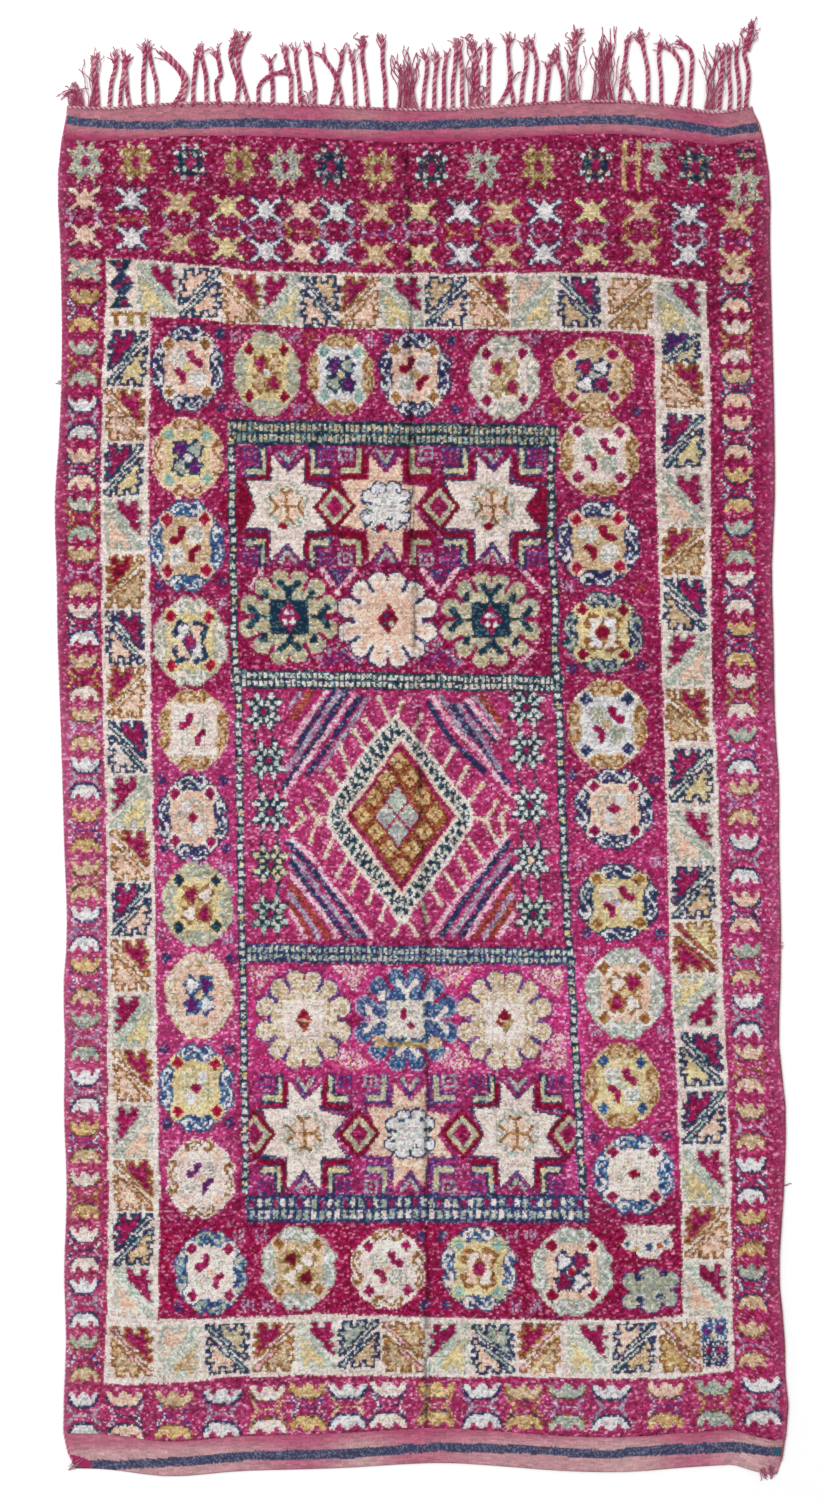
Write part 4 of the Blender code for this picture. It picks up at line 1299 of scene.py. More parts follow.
# The slanting stripes in the corners: width, wool, and the points of the line
SLANTS = (
    (4.4, "blush", 326, 692, 290.7, 744), (4.6, "navy", 333, 692, 296, 748),
    (4.4, "grey", 340, 692, 288, 768), (5.4, "navy", 347, 692, 296, 770, 284.5, 786),
    (4.4, "blush", 354.7, 696, 323.7, 735.5, 284.5, 794.4), (5.4, "navy", 361, 697, 335, 735, 308, 774),
    (4.2, "grey", 368, 699, 342, 740, 320, 770), (7, "rust", 310, 693, 294, 718),
    (4, "grey", 300, 693, 290, 708), (5.4, "navy", 428, 704, 454, 743, 484, 772),
    (4, "grey", 440, 696, 470, 742, 500, 780),
    (4.4, "blush", 431.8, 697, 458, 731, 485.5, 760.6, 509.7, 794), (5.4, "navy", 450, 704, 507.6, 782),
    (4.4, "grey", 458, 704, 479, 733, 500, 770), (5.4, "navy", 466, 704, 494, 740),
    (4.4, "blush", 466.6, 699, 498, 738.5), (7, "rust", 480, 698, 500, 724),
    (4, "grey", 474, 697, 500, 731),
    (4.4, "blush", 291.7, 837.7, 310, 856, 331, 885, 351.6, 911, 371, 936),
    (5.4, "navy", 288.6, 843, 322.7, 881, 364, 937), (4.4, "grey", 290, 853, 356, 937),
    (5.4, "navy", 291, 862, 312.4, 891.5, 347.5, 937), (4.4, "blush", 291, 874, 320.6, 910, 339, 937),
    (5, "rust", 291, 885, 329, 937), (4.4, "grey", 289.7, 894, 320, 937),
    (5.4, "rust", 290, 905, 311, 937), (4, "blush", 290, 912, 306, 937),
    (4.4, "blush", 508.6, 833, 484.4, 864.5, 458, 897, 431.8, 935),
    (5.4, "navy", 508, 843, 489.7, 866, 464, 902, 441, 935), (4.4, "grey", 510, 855, 487.6, 882, 452, 935),
    (5.4, "navy", 510, 866, 489.7, 892, 461, 935), (4.4, "blush", 511.8, 874, 482.3, 912, 468, 937),
    (5, "rust", 512, 884, 476, 937), (4.4, "grey", 512, 895, 484, 937), (5.4, "rust", 512, 905, 491, 937),
    (4, "blush", 513, 914, 498, 937),
)
LATTICE_STARS = (
    (264, 711), (268, 761), (270, 812), (270.5, 863.6), (270.5, 914), (526.5, 707), (526.5, 750),
    (529.7, 805), (530.8, 860), (533, 914),
)
GREAT_DIAMOND = (
    394.5, 714, 413, 733, 425.5, 747, 442.4, 768, 457, 788, 467, 800, 473, 811, 473, 825, 462, 843, 450, 861,
    437.5, 877, 426.8, 891, 416, 907, 405, 924, 397, 921, 388.7, 906, 377.4, 893.5, 362, 873, 347.5, 856,
    334.5, 838, 328, 826, 327.5, 811, 333, 797, 341, 786, 352, 769, 363, 752, 376, 733,
)


def great_diamond(chart):
    """The diamond in its layers, from the cream edge inwards."""
    here = chart.motif(401, 816, 88, 114)
    outline = pairs(GREAT_DIAMOND) - (401, 816)
    here.tie(here.shape(*outline), "cream")
    mottled = here.shape(*0.945 * outline)
    slope = np.abs(here.u) / 70 - np.abs(here.v) / 100
    out = np.abs(here.u) / 70 + np.abs(here.v) / 100
    here.tie(mottled, "mint", 0.5)
    dash = ((slope * 6.5 + 0.5 * (out < 0.94)) % 1) < 0.66
    here.tie(mottled & dash, "teal", 0.9)
    for wide, tall, wool in ((59.5, 82, "cream"), (57, 79, "peach"), (54.5, 75, "magenta"), (49, 67, "rust")):
        here.gem(0, 0, wide, tall, wool)
    core = here.diamond(0, 0, 48, 66)
    here.tie(core, "brown", 0.5)
    here.tie(core & (here.chance > 0.8), "wine")
    tips = ((-3, -55), (34, -2), (1, 50), (-39, -2))
    for (u0, v0), (u1, v1) in zip(tips, [*tips[1:], tips[0]]):
        for share in (0, 1 / 3, 2 / 3):
            u, v = u0 + (u1 - u0) * share, v0 + (v1 - v0) * share
            for side in (-1, 1):
                here.gem(u, v + side * 5.2, 4.4, 3.8, "gold")
                here.gem(u + side * 5, v, 3.6, 4.8, "gold")
    here.gem(-3.5, 0.5, 23, 33, "magenta")
    heart = here.diamond(-3.5, 0.5, 21, 30)
    here.tie(heart, "sage")
    here.tie(heart, "lavender", 0.22)
    here.tie(heart & (here.v < -2), "mint", 0.5)
    here.tie(heart & (here.line(2.2, (-16, -16), (9, 16)) | here.line(2.2, (9, -16), (-16, 16))), "magenta")


def lattice_star(chart, across, down, core, light, linked):
    """Eight points of pale petals, outlined, with a thin link down to the next star."""
    here = chart.motif(across, down, 22, 34)
    if linked:
        for u in (-8.4, 8.4):
            here.bar("teal", 2.4, (u, 14), (u, 34), share=0.85)
    here.u, here.v = np.abs(here.u), np.abs(here.v)
    here.tie(here.shape((0, 11.5), (9, 23), (10, 13), (20, 12), (12, 0), (0, 0)), "teal")
    for petal in ((6.8, 14.6, 2.4, 4.2), (13.6, 8, 4, 2.6), (3.2, 8.2, 2.1, 2.9), (8.6, 3.2, 2.9, 2.2)):
        here.dot(*petal, light)
        here.dot(*petal, "mint", 0.3)
    here.dot(0, 0, 3.2, 4, core)


def tie_diamond_panel(chart):
    panel = chart.whole()
    for width, wool, *line in SLANTS:
        panel.bar(wool, width * 1.12, *pairs(line), share=0.88 if wool in ("blush", "grey") else 0.93)
    for across, down, to_across, to_down in RAYS:
        ray = chart.motif(across, down, 34, 34)
        u, v = to_across - across, to_down - down
        ray.bar("brown", 5, (0, 0), (u, v), share=0.4)
        thick = ray.line(3.5, (-u * 0.2, -v * 0.2), (u, v)) | ray.disc(u, v, 3, 3)
        ray.tie(thick, "tan")
        ray.tie(thick, "cream", 0.55)
    great_diamond(chart)
    for number, (across, down) in enumerate(LATTICE_STARS):
        light = "yellow" if number == 3 else "mint" if number in (4, 9) else "white"
        core = "peach" if number == 8 else "magenta"
        lattice_star(chart, across, down, core, light, number not in (4, 9))


def tie_middle(chart):
    rug = chart.whole()
    for across in (240, 540):
        chart.motif(across, 507, 24, 30).gem(0, 0, 22, 30, "crimson")
    stars = ((288, "cream", 1.0), (385.7, "peach", 1.08), (493, "cream", 1.16))
    star_panel(chart, 507, 62, stars, ((334.5, -30, 30), (439.5, -30, 30)))
    stars = ((305, "cream", 1.04), (410, "peach", 1.04), (517, "cream", 1.06))
    star_panel(chart, 1133.5, 60, stars, ((255, -5, 30), (359, -30, 30), (462.5, -30, 30), (568, -30, 6)))
    for middle in (338.5, 440):
        peak = rug.shape((middle - 13, 569), (middle, 588), (middle + 13, 569))
        rug.tie(peak, "violet", 0.75)
        rug.tie(peak, "navy", 0.35)
        for side in (-17, 17):
            chart.motif(middle, 583, 24, 16).bar("blush", 4.6, (side, -13), (0, 10), share=0.86)
    for points in (((264, 569), (250, 589)), ((525, 573), (543, 592)), ((537, 642), (516, 669))):
        rug.bar("blush", 4.6, *points, share=0.82)
    for low in (340, 438):
        peak = chart.motif(low, 655, 34, 16)
        peak.bar("grey", 7, (-28, 6), (0, -11), (24, 8), share=0.5)
        peak.tie(peak.line(8, (-16, 10), (2, 0), (18, 10)) & (peak.chance > 0.55), "violet")
    teal_hearted(chart, 289.4, 617)
    teal_hearted(chart, 491, 620)
    peach_hearted(chart, 388, 620)
    for points in (
        ((248, 966), (278, 966), (256, 996)), ((332, 966), (374, 966), (354, 992)),
        ((432, 966), (472, 966), (452, 992)), ((522, 966), (566, 970), (560, 1000)),
        ((340, 1036), (372, 1064), (352, 1070), (330, 1060)),
        ((448, 1030), (474, 1066), (455, 1070), (436, 1060)),
        ((540, 1040), (566, 1030), (566, 1068), (540, 1068)),
    ):
        rug.tie(rug.shape(*points), "blush", 0.6)
        rug.tie(rug.shape(*points), "gold", 0.12)
    square_hearted(chart, 304, 1019, "rust")
    square_hearted(chart, 504.6, 1020, "olive")
    blue_hearted(chart, 407, 1019)
    chart.motif(354, 1020, 9, 9).dot(0, 0, 6.5, 7, "magenta")
    tie_diamond_panel(chart)
    tie_frame(chart)


def weave_design(chart):
    """The whole design, tied from the border inwards."""
    tie_outer_border(chart)
    tie_ring(chart)
    tie_field(chart)
    tie_middle(chart)


# How the magenta ground changes from yarn batch to yarn batch:
# down from, down to, across from, across to, and the change in red, green and blue
DYE_BATCHES = (
    (140, 330, 40, 800, -12, -8, -11), (420, 566, 228, 556, -13, 0, 4), (566, 668, 228, 560, -8, -11, -10),
    (692, 940, 238, 566, 25, 21, 26), (962, 1074, 240, 584, 39, 24, 38), (1076, 1192, 246, 588, 16, 19, 28),
    (1222, 1314, 155, 690, 1, -11, -10), (700, 1194, 152, 240, 29, 28, 35),
    (800, 1194, 566, 684, 25, 18, 25), (700, 1100, 36, 110, 28, 40, 34), (1100, 1440, 36, 110, 19, 27, 19),
    (700, 1100, 712, 804, 25, 25, 28), (1100, 1440, 726, 812, 14, 13, 11),
    (1378, 1444, 110, 726, 18, 23, 21),
)
BATCH_EDGE = 14.0
PASSED_ON = 0.5
KNOT_UNEVENNESS = 0.11
STREAK_KNOTS = 16
# Every wool but the magenta ground is a little darker towards the fringe end, by this factor along the rug.
DARKER_TOWARDS_FRINGE = through(((100, 0.92), (330, 0.94), (700, 0.98), (1000, 1.0)))


def knot_colours(chart):
    """The colour of every knot, as light."""
    draw = np.random.default_rng(29)
    rows, columns = chart.wool.shape
    own = draw.random((rows, columns))
    passed_on = draw.random((rows, columns)) < PASSED_ON
    own[:, 1:][passed_on[:, 1:]] = own[:, :-1][passed_on[:, 1:]]
    colours = np.zeros((rows, columns, 3))
    for number, mix in enumerate(WOOLS.values()):
        here = chart.wool == number
        edges = np.cumsum([share / 100 for share, *_ in mix])
        shades = np.array([colour for _, *colour in mix], float)
        index = np.minimum(np.searchsorted(edges, own), len(mix) - 1)
        colours[here] = shades[index][here]
    ground = chart.wool == 0
    for top, bottom, left, right, *shift in DYE_BATCHES:
        inside = np.ones((rows, columns))
        for past in (chart.down - top, bottom - chart.down, chart.across - left, right - chart.across):
            inside *= np.clip(past / BATCH_EDGE + 0.5, 0, 1)
        colours += (inside * ground)[:, :, None] * np.array(shift)
    cloud_tone = np.zeros((rows, columns))
    for period, phase in ((5, 3), (13, 6), (31, 9)):
        cloud_tone += np.sin(chart.down / period + phase + chart.across / (period * 4)) / 3
    streak = draw.normal(0, 1, (rows, columns // STREAK_KNOTS + 2)).repeat(STREAK_KNOTS, axis=1)
    shifts = draw.integers(0, STREAK_KNOTS, rows)
    streak = np.array([np.roll(row, shift) for row, shift in zip(streak, shifts)])
    tone = 1 + 0.05 * cloud_tone + 0.05 * streak[:, :columns]
    tone += KNOT_UNEVENNESS * draw.normal(0, 1, (rows, columns))
    tone *= np.where(ground, 1, DARKER_TOWARDS_FRINGE(chart.down))
    return linear(np.clip(colours * tone[:, :, None], 0, 255))


# The ground cloth: wool warps and wefts under the whole rug, one sheet from side to side and end to end.
# Its underside shows the backs of the knots, so the design is seen there too, row by row.
GROUND_THICK = 0.0026
GROUND_CELL = 0.0185
GROUND_BOB = 0.0003
MAP_GAP = 0.002
MAP_SHAPE = 0.75
BACK_STRIP = 0.05
SUNK_IN = 0.0002
STRIP_DEPTH = 0.008
TOP_BAND = 0.074
BOTTOM_BAND = 0.085
FLAT_WIDTH = 1.80
FLAT_LENGTH = 3.42
HALF_WIDTH = 0.88
LAY_ROUNDS = 7
ON_THE_FLOOR = 0.00001
SOFT_EDGE = 0.3
WALL_SHADE = 0.8
BACK_SHADE = 0.74
BACK_PINK = 0.18
FIRST_KNOTS, LAST_KNOTS = 137, 1440


def outline_of(node):
    """The open edge of the node's underside, as its left, right, top and bottom lines."""
    mesh = node.data
    open_edges = set()
    for polygon in mesh.polygons:
        corners = [mesh.vertices[i].co for i in polygon.vertices]
        if max(corner.z for corner in corners) > ON_THE_FLOOR:
            continue
        keys = [(round(corner.x, 6), round(corner.y, 6)) for corner in corners]
        for a, b in zip(keys, [*keys[1:], keys[0]]):
            open_edges ^= {(b, a)} if (b, a) in open_edges else {(a, b)}
    following = dict(open_edges)
    loop = [min(following)]
    while following[loop[-1]] != loop[0]:
        loop.append(following[loop[-1]])
    loop = np.array(loop)
    corners = [int(np.argmax(loop @ way)) for way in ((-1, 1), (1, 1), (1, -1), (-1, -1))]

    def run(first, last):
        around = np.roll(loop, -first, axis=0)
        return around[: (last - first) % len(loop) + 1]

    lines = []
    for first, last, axis in ((3, 0, 1), (1, 2, 1), (0, 1, 0), (2, 3, 0)):
        a, b = corners[first], corners[last]
        line = min(run(a, b), run(b, a), key=len)
        order = np.argsort(line[:, axis])
        lines.append(through(line[order][:, [axis, 1 - axis]]))
    return lines


left_at, right_at, top_at, bottom_at = outline_of(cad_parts["rug"])


def from_sides(x, y):
    """How far a place lies from the nearer side of the rug."""
    return np.minimum(x - left_at(y), right_at(y) - x)


def lay(rows, columns, start, finish, inset):
    """A grid of points over the cloth, from one line across it to another, this far from its sides."""
    u, v = np.meshgrid(np.linspace(0, 1, columns + 1), np.linspace(0, 1, rows + 1))
    x = (2 * u - 1) * HALF_WIDTH
    for _ in range(LAY_ROUNDS):
        y = start(x) + (finish(x) - start(x)) * v
        x = left_at(y) + inset + (right_at(y) - left_at(y) - 2 * inset) * u
    return x, y


def middles(x, y):
    """The middle of every cell of a grid."""
    return (x[1:, 1:] + x[:-1, :-1]) / 2, (y[1:, 1:] + y[:-1, :-1]) / 2


def corners_of(grid):
    """What every cell of a grid has at its four corners, the lower left one first."""
    return np.stack([grid[1:, :-1], grid[1:, 1:], grid[:-1, 1:], grid[:-1, :-1]], axis=2)


def slab(name, x, y, face, back, colours, folds, material):
    """A closed slab: a grid of coloured cells on one side, plain walls and a plain back.

    Its map lays the grid out in as many folds, side by side, and the back in a narrow strip.
    """
    rows, columns = x.shape[0] - 1, x.shape[1] - 1
    number = np.arange((rows + 1) * (columns + 1)).reshape(rows + 1, columns + 1)
    quads = corners_of(number)
    rim = np.concatenate([number[0, :-1], number[:-1, -1], number[-1, :0:-1], number[:0:-1, 0]])
    low = np.arange(len(rim)) + number.size
    points = np.column_stack([x.ravel(), y.ravel(), face.ravel()])
    base = points[rim].copy()
    base[:, 2] = back
    points = np.vstack([points, base])
    quads = quads.reshape(-1, 4)
    walls = np.column_stack([rim, np.roll(rim, -1), np.roll(low, -1), low])
    faces_up = float(face.mean()) > back
    cap = low
    if not faces_up:
        quads, walls, cap = quads[:, ::-1], walls[:, ::-1], cap[::-1]
    loops = np.concatenate([quads.ravel(), walls.ravel(), cap])
    starts = np.arange(len(quads) + len(walls) + 1) * 4
    mesh = bpy.data.meshes.new(name)
    mesh.vertices.add(len(points))
    mesh.vertices.foreach_set("co", points.ravel())
    mesh.loops.add(len(loops))
    mesh.loops.foreach_set("vertex_index", loops.astype(np.int32))
    mesh.polygons.add(len(starts))
    mesh.polygons.foreach_set("loop_start", starts.astype(np.int32))
    smooth = np.zeros(len(starts), bool)
    smooth[: len(quads)] = True
    mesh.polygons.foreach_set("use_smooth", smooth)
    mesh.materials.append(material)

    # Colours: each cell its own, softened a little at the corners towards its neighbours'
    wide = np.pad(colours, ((1, 1), (1, 1), (0, 0)), mode="edge")
    meet = (wide[:-1, :-1] + wide[1:, :-1] + wide[:-1, 1:] + wide[1:, 1:]) / 4
    cell = colours[:, :, None, :] * (1 - SOFT_EDGE) + corners_of(meet) * SOFT_EDGE
    cell = cell.reshape(-1, 4, 3)
    if not faces_up:
        cell = cell[:, ::-1]
    # The walls take the colour of the cells along the edge, darkened as painted shade.
    edge = np.concatenate([colours[0], colours[:, -1], colours[-1, ::-1], colours[::-1, 0]]) * WALL_SHADE
    side = np.repeat(edge[: len(walls)], 4, axis=0)
    last = np.tile(colours.reshape(-1, 3).mean(axis=0), (len(cap), 1))
    every = np.vstack([cell.reshape(-1, 3), side, last])
    dyed = mesh.color_attributes.new("yarn", "FLOAT_COLOR", "CORNER")
    dyed.data.foreach_set("color", np.column_stack([every, np.ones(len(every))]).ravel())

    # The map, in metres first: folds of the grid, with room round each for its walls
    height = abs(float(face.mean()) - back)
    gap = 2.4 * height + MAP_GAP
    fold_rows = -(-rows // folds)
    pitch_x = float(np.abs(np.diff(x, axis=1)).mean())
    pitch_y = float(np.abs(np.diff(y, axis=0)).mean())
    i, j = np.divmod(np.arange(number.size), columns + 1)

    def place(row, column, fold):
        across = gap + fold * (columns * pitch_x + gap) + column * pitch_x
        return across, gap + (row - fold * fold_rows) * pitch_y

    row_of_quad = np.repeat(np.arange(rows), columns)
    fold = np.repeat(row_of_quad // fold_rows, 4)
    quad_corner = quads.ravel()
    qx, qy = place(i[quad_corner], j[quad_corner], fold)
    wall_corner = walls.ravel()
    is_low = wall_corner >= number.size
    upper = np.where(is_low, rim[np.clip(wall_corner - number.size, 0, len(rim) - 1)], wall_corner)
    wall_row = np.minimum(i[upper].reshape(-1, 4).min(axis=1).repeat(4), rows - 1)
    wx, wy = place(i[upper], j[upper], wall_row // fold_rows)
    drop = height * is_low
    count = np.array([columns, rows, columns, rows])
    way_x = np.repeat(np.repeat([0, 1, 0, -1], count), 4)
    way_y = np.repeat(np.repeat([-1, 0, 1, 0], count), 4)
    wx, wy = wx + drop * way_x, wy + drop * way_y
    wide_all = gap + folds * (columns * pitch_x + gap)
    tall_all = 2 * gap + fold_rows * pitch_y
    strip = BACK_STRIP * wide_all
    cx = wide_all + strip * (j[rim] / columns)
    cy = gap + (tall_all - 2 * gap) * (i[rim] / rows)
    if not faces_up:
        cx, cy = cx[::-1], cy[::-1]
    map_wide = wide_all + strip + gap
    across = np.concatenate([qx, wx, cx]) / map_wide
    down = np.concatenate([qy, wy, cy]) / max(tall_all, MAP_SHAPE * map_wide)
    laid = mesh.uv_layers.new(name="OFBake")
    laid.data.foreach_set("uv", np.column_stack([across, 1 - down]).ravel().astype(np.float32))
    mesh.update(calc_edges=True)
    mesh.validate()
    return put_in_scene(name, mesh)


def woven_finish(name, warp_pitch, weft_pitch, depth):
    """Flat-woven wool: a fine rib at each warp, crossed by the beaten-down wefts, with painted shade where
    they lie low.
    """
    cloth = Finish(name, 0.93, Sheen_Weight=0.08, Sheen_Roughness=0.5)
    yarn = cloth.node("ShaderNodeAttribute", {"attribute_name": "yarn"}, {}, "Color")
    hairs = cloth.noise(cloth.stretched(0.4, 1.0, 1.0), scale=1700.0, detail=3.0, rough=0.7)
    ribs = {"Scale": 0.314 / warp_pitch, "Distortion": 1.2, "Detail": 1.0, "Detail Scale": 3.0}
    picks = {"Scale": 0.314 / weft_pitch, "Distortion": 1.5, "Detail": 1.0, "Detail Scale": 3.0}
    warp = cloth.node("ShaderNodeTexWave", {"bands_direction": "X"}, {"Vector": cloth.spot(), **ribs}, "Fac")
    weft = cloth.node("ShaderNodeTexWave", {"bands_direction": "Y"}, {"Vector": cloth.spot(), **picks}, "Fac")
    lift = warp * 0.55 + weft * 0.3 + hairs * 0.35
    # The yarn's colour is darkened where the ribs and wefts lie low: painted shade in the grooves of the
    # weave.
    cloth.feed("Base Color", cloth.shade(yarn, 0.72 + 0.40 * lift))
    cloth.relief(lift, depth, strength=0.8)
    return cloth.material


ground_rows, ground_columns = round(FLAT_LENGTH / GROUND_CELL), round(FLAT_WIDTH / GROUND_CELL)
ground_x, ground_y = lay(ground_rows, ground_columns, lambda x: top_at(x) + STRIP_DEPTH, bottom_at, 0.0)
back_chart = Chart(*middles(ground_x, ground_y), wander=0.8)
weave_design(back_chart)
back_colours = knot_colours(back_chart) * BACK_SHADE + linear((150, 84, 108)) * BACK_PINK
ends = (back_chart.down < FIRST_KNOTS) | (back_chart.down > LAST_KNOTS)
back_colours[ends] = linear((176, 92, 122))
bob = GROUND_BOB * np.random.default_rng(3).random(ground_x.shape)
KNOT_BACKS = woven_finish("knot backs", warp_pitch=0.0052, weft_pitch=0.0058, depth=0.0008)
ground_cloth = slab("ground_cloth", ground_x, ground_y, bob, GROUND_THICK, back_colours, 2, KNOT_BACKS)
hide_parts("rug")
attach(ground_cloth, "root")


# The flat-woven bands at the two ends: dusty pink wefts beaten down hard, with one navy stripe.
# They are the same cloth as the ground, seen where no knots are tied.
BAND_TOP = 0.0040
BAND_RAGGED = 0.00025
BAND_DROP = 0.0008
BAND_RUN = 0.006
BAND_INSET = 0.001
UNDER_PILE = 0.010
BAND_COLUMNS = 600
TOP_ROWS = 26
BOTTOM_ROWS = 28
TEAL_ENDS = (72, 774)
# The navy stripe: across, and down of its upper and its lower edge
STRIPE_OF_TOP = (
    (64, 116, 125), (100, 120, 128.5), (142, 122, 130), (244, 118.5, 127.5), (371, 121, 130),
    (400, 122, 131), (502, 118.5, 127.5), (617, 115, 124), (680, 121, 130), (719, 127.5, 136.5),
    (740, 126, 134.5), (756, 124, 132.5),
)
STRIPE_OF_BOTTOM = (
    (70, 1459, 1467), (116, 1460, 1469), (193, 1456, 1465), (244, 1451, 1460), (346, 1448, 1458.5),
    (438, 1442, 1451), (527, 1444.5, 1453.5), (604, 1450, 1458.5), (655, 1444.5, 1455),
    (732, 1441, 1452), (776, 1447, 1456),
)


def band(name, x, y, stripe, dusty, pinker, pile_side, seed):
    """One flat-woven band over its grid, dyed by its stripe's place."""
    draw = np.random.default_rng(seed)
    across, down = steps(*middles(x, y))
    at, above, below = np.array(stripe, float).T
    wobble = 0.3 * np.sin(across / 6) + draw.normal(0, 0.14, across.shape)
    inside = (down > np.interp(across, at, above) + wobble) & (down < np.interp(across, at, below) + wobble)
    line = np.repeat(draw.normal(0, 1, (across.shape[0], across.shape[1] // 6 + 2)), 6, axis=1) * 1.3
    line = line[:, : across.shape[1]] * 0.5 + draw.normal(0, 0.5, across.shape)
    share = np.clip((pile_side(across) - down) * (1 if name.endswith("fringe") else -1) / 9, 0, 1)[:, :, None]
    colour = np.array(dusty) * share + np.array(pinker) * (1 - share)
    richer = (0.22 + 0.22 * np.sin(across / 33 + 1.7 * np.sin(across / 57)))[:, :, None]
    colour = colour * (1 - richer) + np.array((158, 40, 88)) * richer
    colour = colour * (1 + 0.09 * line[:, :, None])
    grey = draw.random(across.shape) < 0.30
    navy = np.where(grey[:, :, None], (100, 98, 118), (46, 50, 84)) * (1 + 0.12 * line[:, :, None])

    # The stripe turns teal at its ends, and magenta yarn lies over the band at the lower left corner
    ends = (across < TEAL_ENDS[0]) | (across > TEAL_ENDS[1])
    navy = np.where(ends[:, :, None], (34, 76, 92), navy)
    colour = np.where(inside[:, :, None], navy, colour)
    yarn = ((across - 80) / 13) ** 2 + ((down - 1461 - 0.3 * (across - 80)) / 5) ** 2 < 1
    colour = np.where(yarn[:, :, None], (150, 22, 84), colour)
    height = BAND_TOP + BAND_RAGGED * draw.normal(0, 1, x.shape)
    height -= BAND_DROP * np.exp(-np.clip(from_sides(x, y), 0, 1) / BAND_RUN)
    wool = woven_finish(name + " wool", warp_pitch=0.0031, weft_pitch=0.0024, depth=0.0006)
    made = slab(name, x, y, height, GROUND_THICK - SUNK_IN, linear(np.clip(colour, 0, 255)), 4, wool)
    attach(made, "root")
    return made


band_x, band_y = lay(
    TOP_ROWS, BAND_COLUMNS, lambda x: top_at(x) + STRIP_DEPTH - BAND_INSET,
    lambda x: top_at(x) - TOP_BAND - UNDER_PILE, BAND_INSET,
)
pile_line = through(
    ((60, 138), (142, 142), (244, 140), (371, 142), (502, 140), (617, 137), (719, 147), (756, 144))
)
top_band = band(
    "band_by_fringe", band_x, band_y, STRIPE_OF_TOP, dusty=(164, 104, 116), pinker=(148, 40, 82),
    pile_side=pile_line, seed=41,
)
band_x, band_y = lay(
    BOTTOM_ROWS, BAND_COLUMNS, lambda x: bottom_at(x) + BOTTOM_BAND + UNDER_PILE,
    lambda x: bottom_at(x) + BAND_INSET, BAND_INSET,
)
pile_line = through(
    ((60, 1444), (219, 1440), (295, 1438), (440, 1431), (560, 1434), (680, 1434), (780, 1431))
)
bottom_band = band(
    "band_by_plain_end", band_x, band_y, STRIPE_OF_BOTTOM, dusty=(184, 144, 146), pinker=(174, 100, 120),
    pile_side=pile_line, seed=43,
)


# The knotted pile: rows of wool tufts on the ground cloth, clipped low by years of wear, lying in ribs
# across the rug. It was folded lengthwise, and a soft crease still runs down the middle.
PILE_ROWS = 780
PILE_COLUMNS = 430
PILE_STRIPS = 5
PILE_HEIGHT = 0.0088
PILE_RIB = 0.0005
PILE_RAGGED = 0.0007
PILE_CLUMPS = 0.0003
PILE_JITTER = 0.0006
PILE_INSET = 0.0032
PILE_TOP = TOP_BAND + 0.004
PILE_BOTTOM = BOTTOM_BAND + 0.004
SIDE_DROP, SIDE_RUN = 0.0026, 0.007
END_DROP, END_RUN = 0.0034, 0.006
SIDE_FADE, SIDE_FADE_STEPS = 0.55, 5.0
CREASE_DEPTH = 0.0034
CREASE_HALF = 0.009
# How far to each side of the crease its painted shade reaches, in steps
CREASE_SHADE_HALF = 3.4
CREASE_LINE = through(
    ((100, 404), (288, 410.8), (480, 410.8), (600, 414.8), (817, 420.8), (957, 426), (1480, 427.2))
)


def pile_finish():
    """Clipped wool tufts: the knots' colours, fine curled fibres, and shade between the tufts."""
    pile = Finish("knotted wool", 0.95, Specular_IOR_Level=0.12)
    yarn = pile.node("ShaderNodeAttribute", {"attribute_name": "yarn"}, {}, "Color")
    fibres = pile.noise(pile.stretched(1.0, 0.6, 1.0), scale=900.0, detail=3.0, rough=0.7)
    tufts = pile.noise(pile.spot(), scale=320.0, detail=1.0, rough=0.5)
    lift = fibres * 0.6 + tufts * 0.6
    pile.feed("Base Color", pile.shade(yarn, 0.17 + 0.94 * lift))
    pile.relief(lift, distance=0.0016, strength=0.7)
    return pile.material


pile_x, pile_y = lay(
    PILE_ROWS, PILE_COLUMNS, lambda x: top_at(x) - PILE_TOP, lambda x: bottom_at(x) + PILE_BOTTOM, PILE_INSET
)
chart = Chart(*middles(pile_x, pile_y), wander=0.38)
weave_design(chart)
colours = knot_colours(chart)

draw = np.random.default_rng(17)
off_crease = chart.across - CREASE_LINE(chart.down)
streak = np.repeat(draw.random((PILE_ROWS // 9 + 1, PILE_COLUMNS)), 9, axis=0)[:PILE_ROWS]
# Painted shade along the crease: the knots near its middle are darkened, in streaks down the rug.
crease_shade = np.exp(-((off_crease / CREASE_SHADE_HALF) ** 2))
colours *= (1 + crease_shade * (0.9 * streak - 0.86))[:, :, None]
from_side = from_sides(*metres(chart.across, chart.down)) / STEP
faded = SIDE_FADE * np.exp(-np.clip(from_side, 0, None) / SIDE_FADE_STEPS) * (chart.wool == 0)
faded = faded[:, :, None]
colours = colours * (1 - faded) + linear((196, 110, 150)) * faded

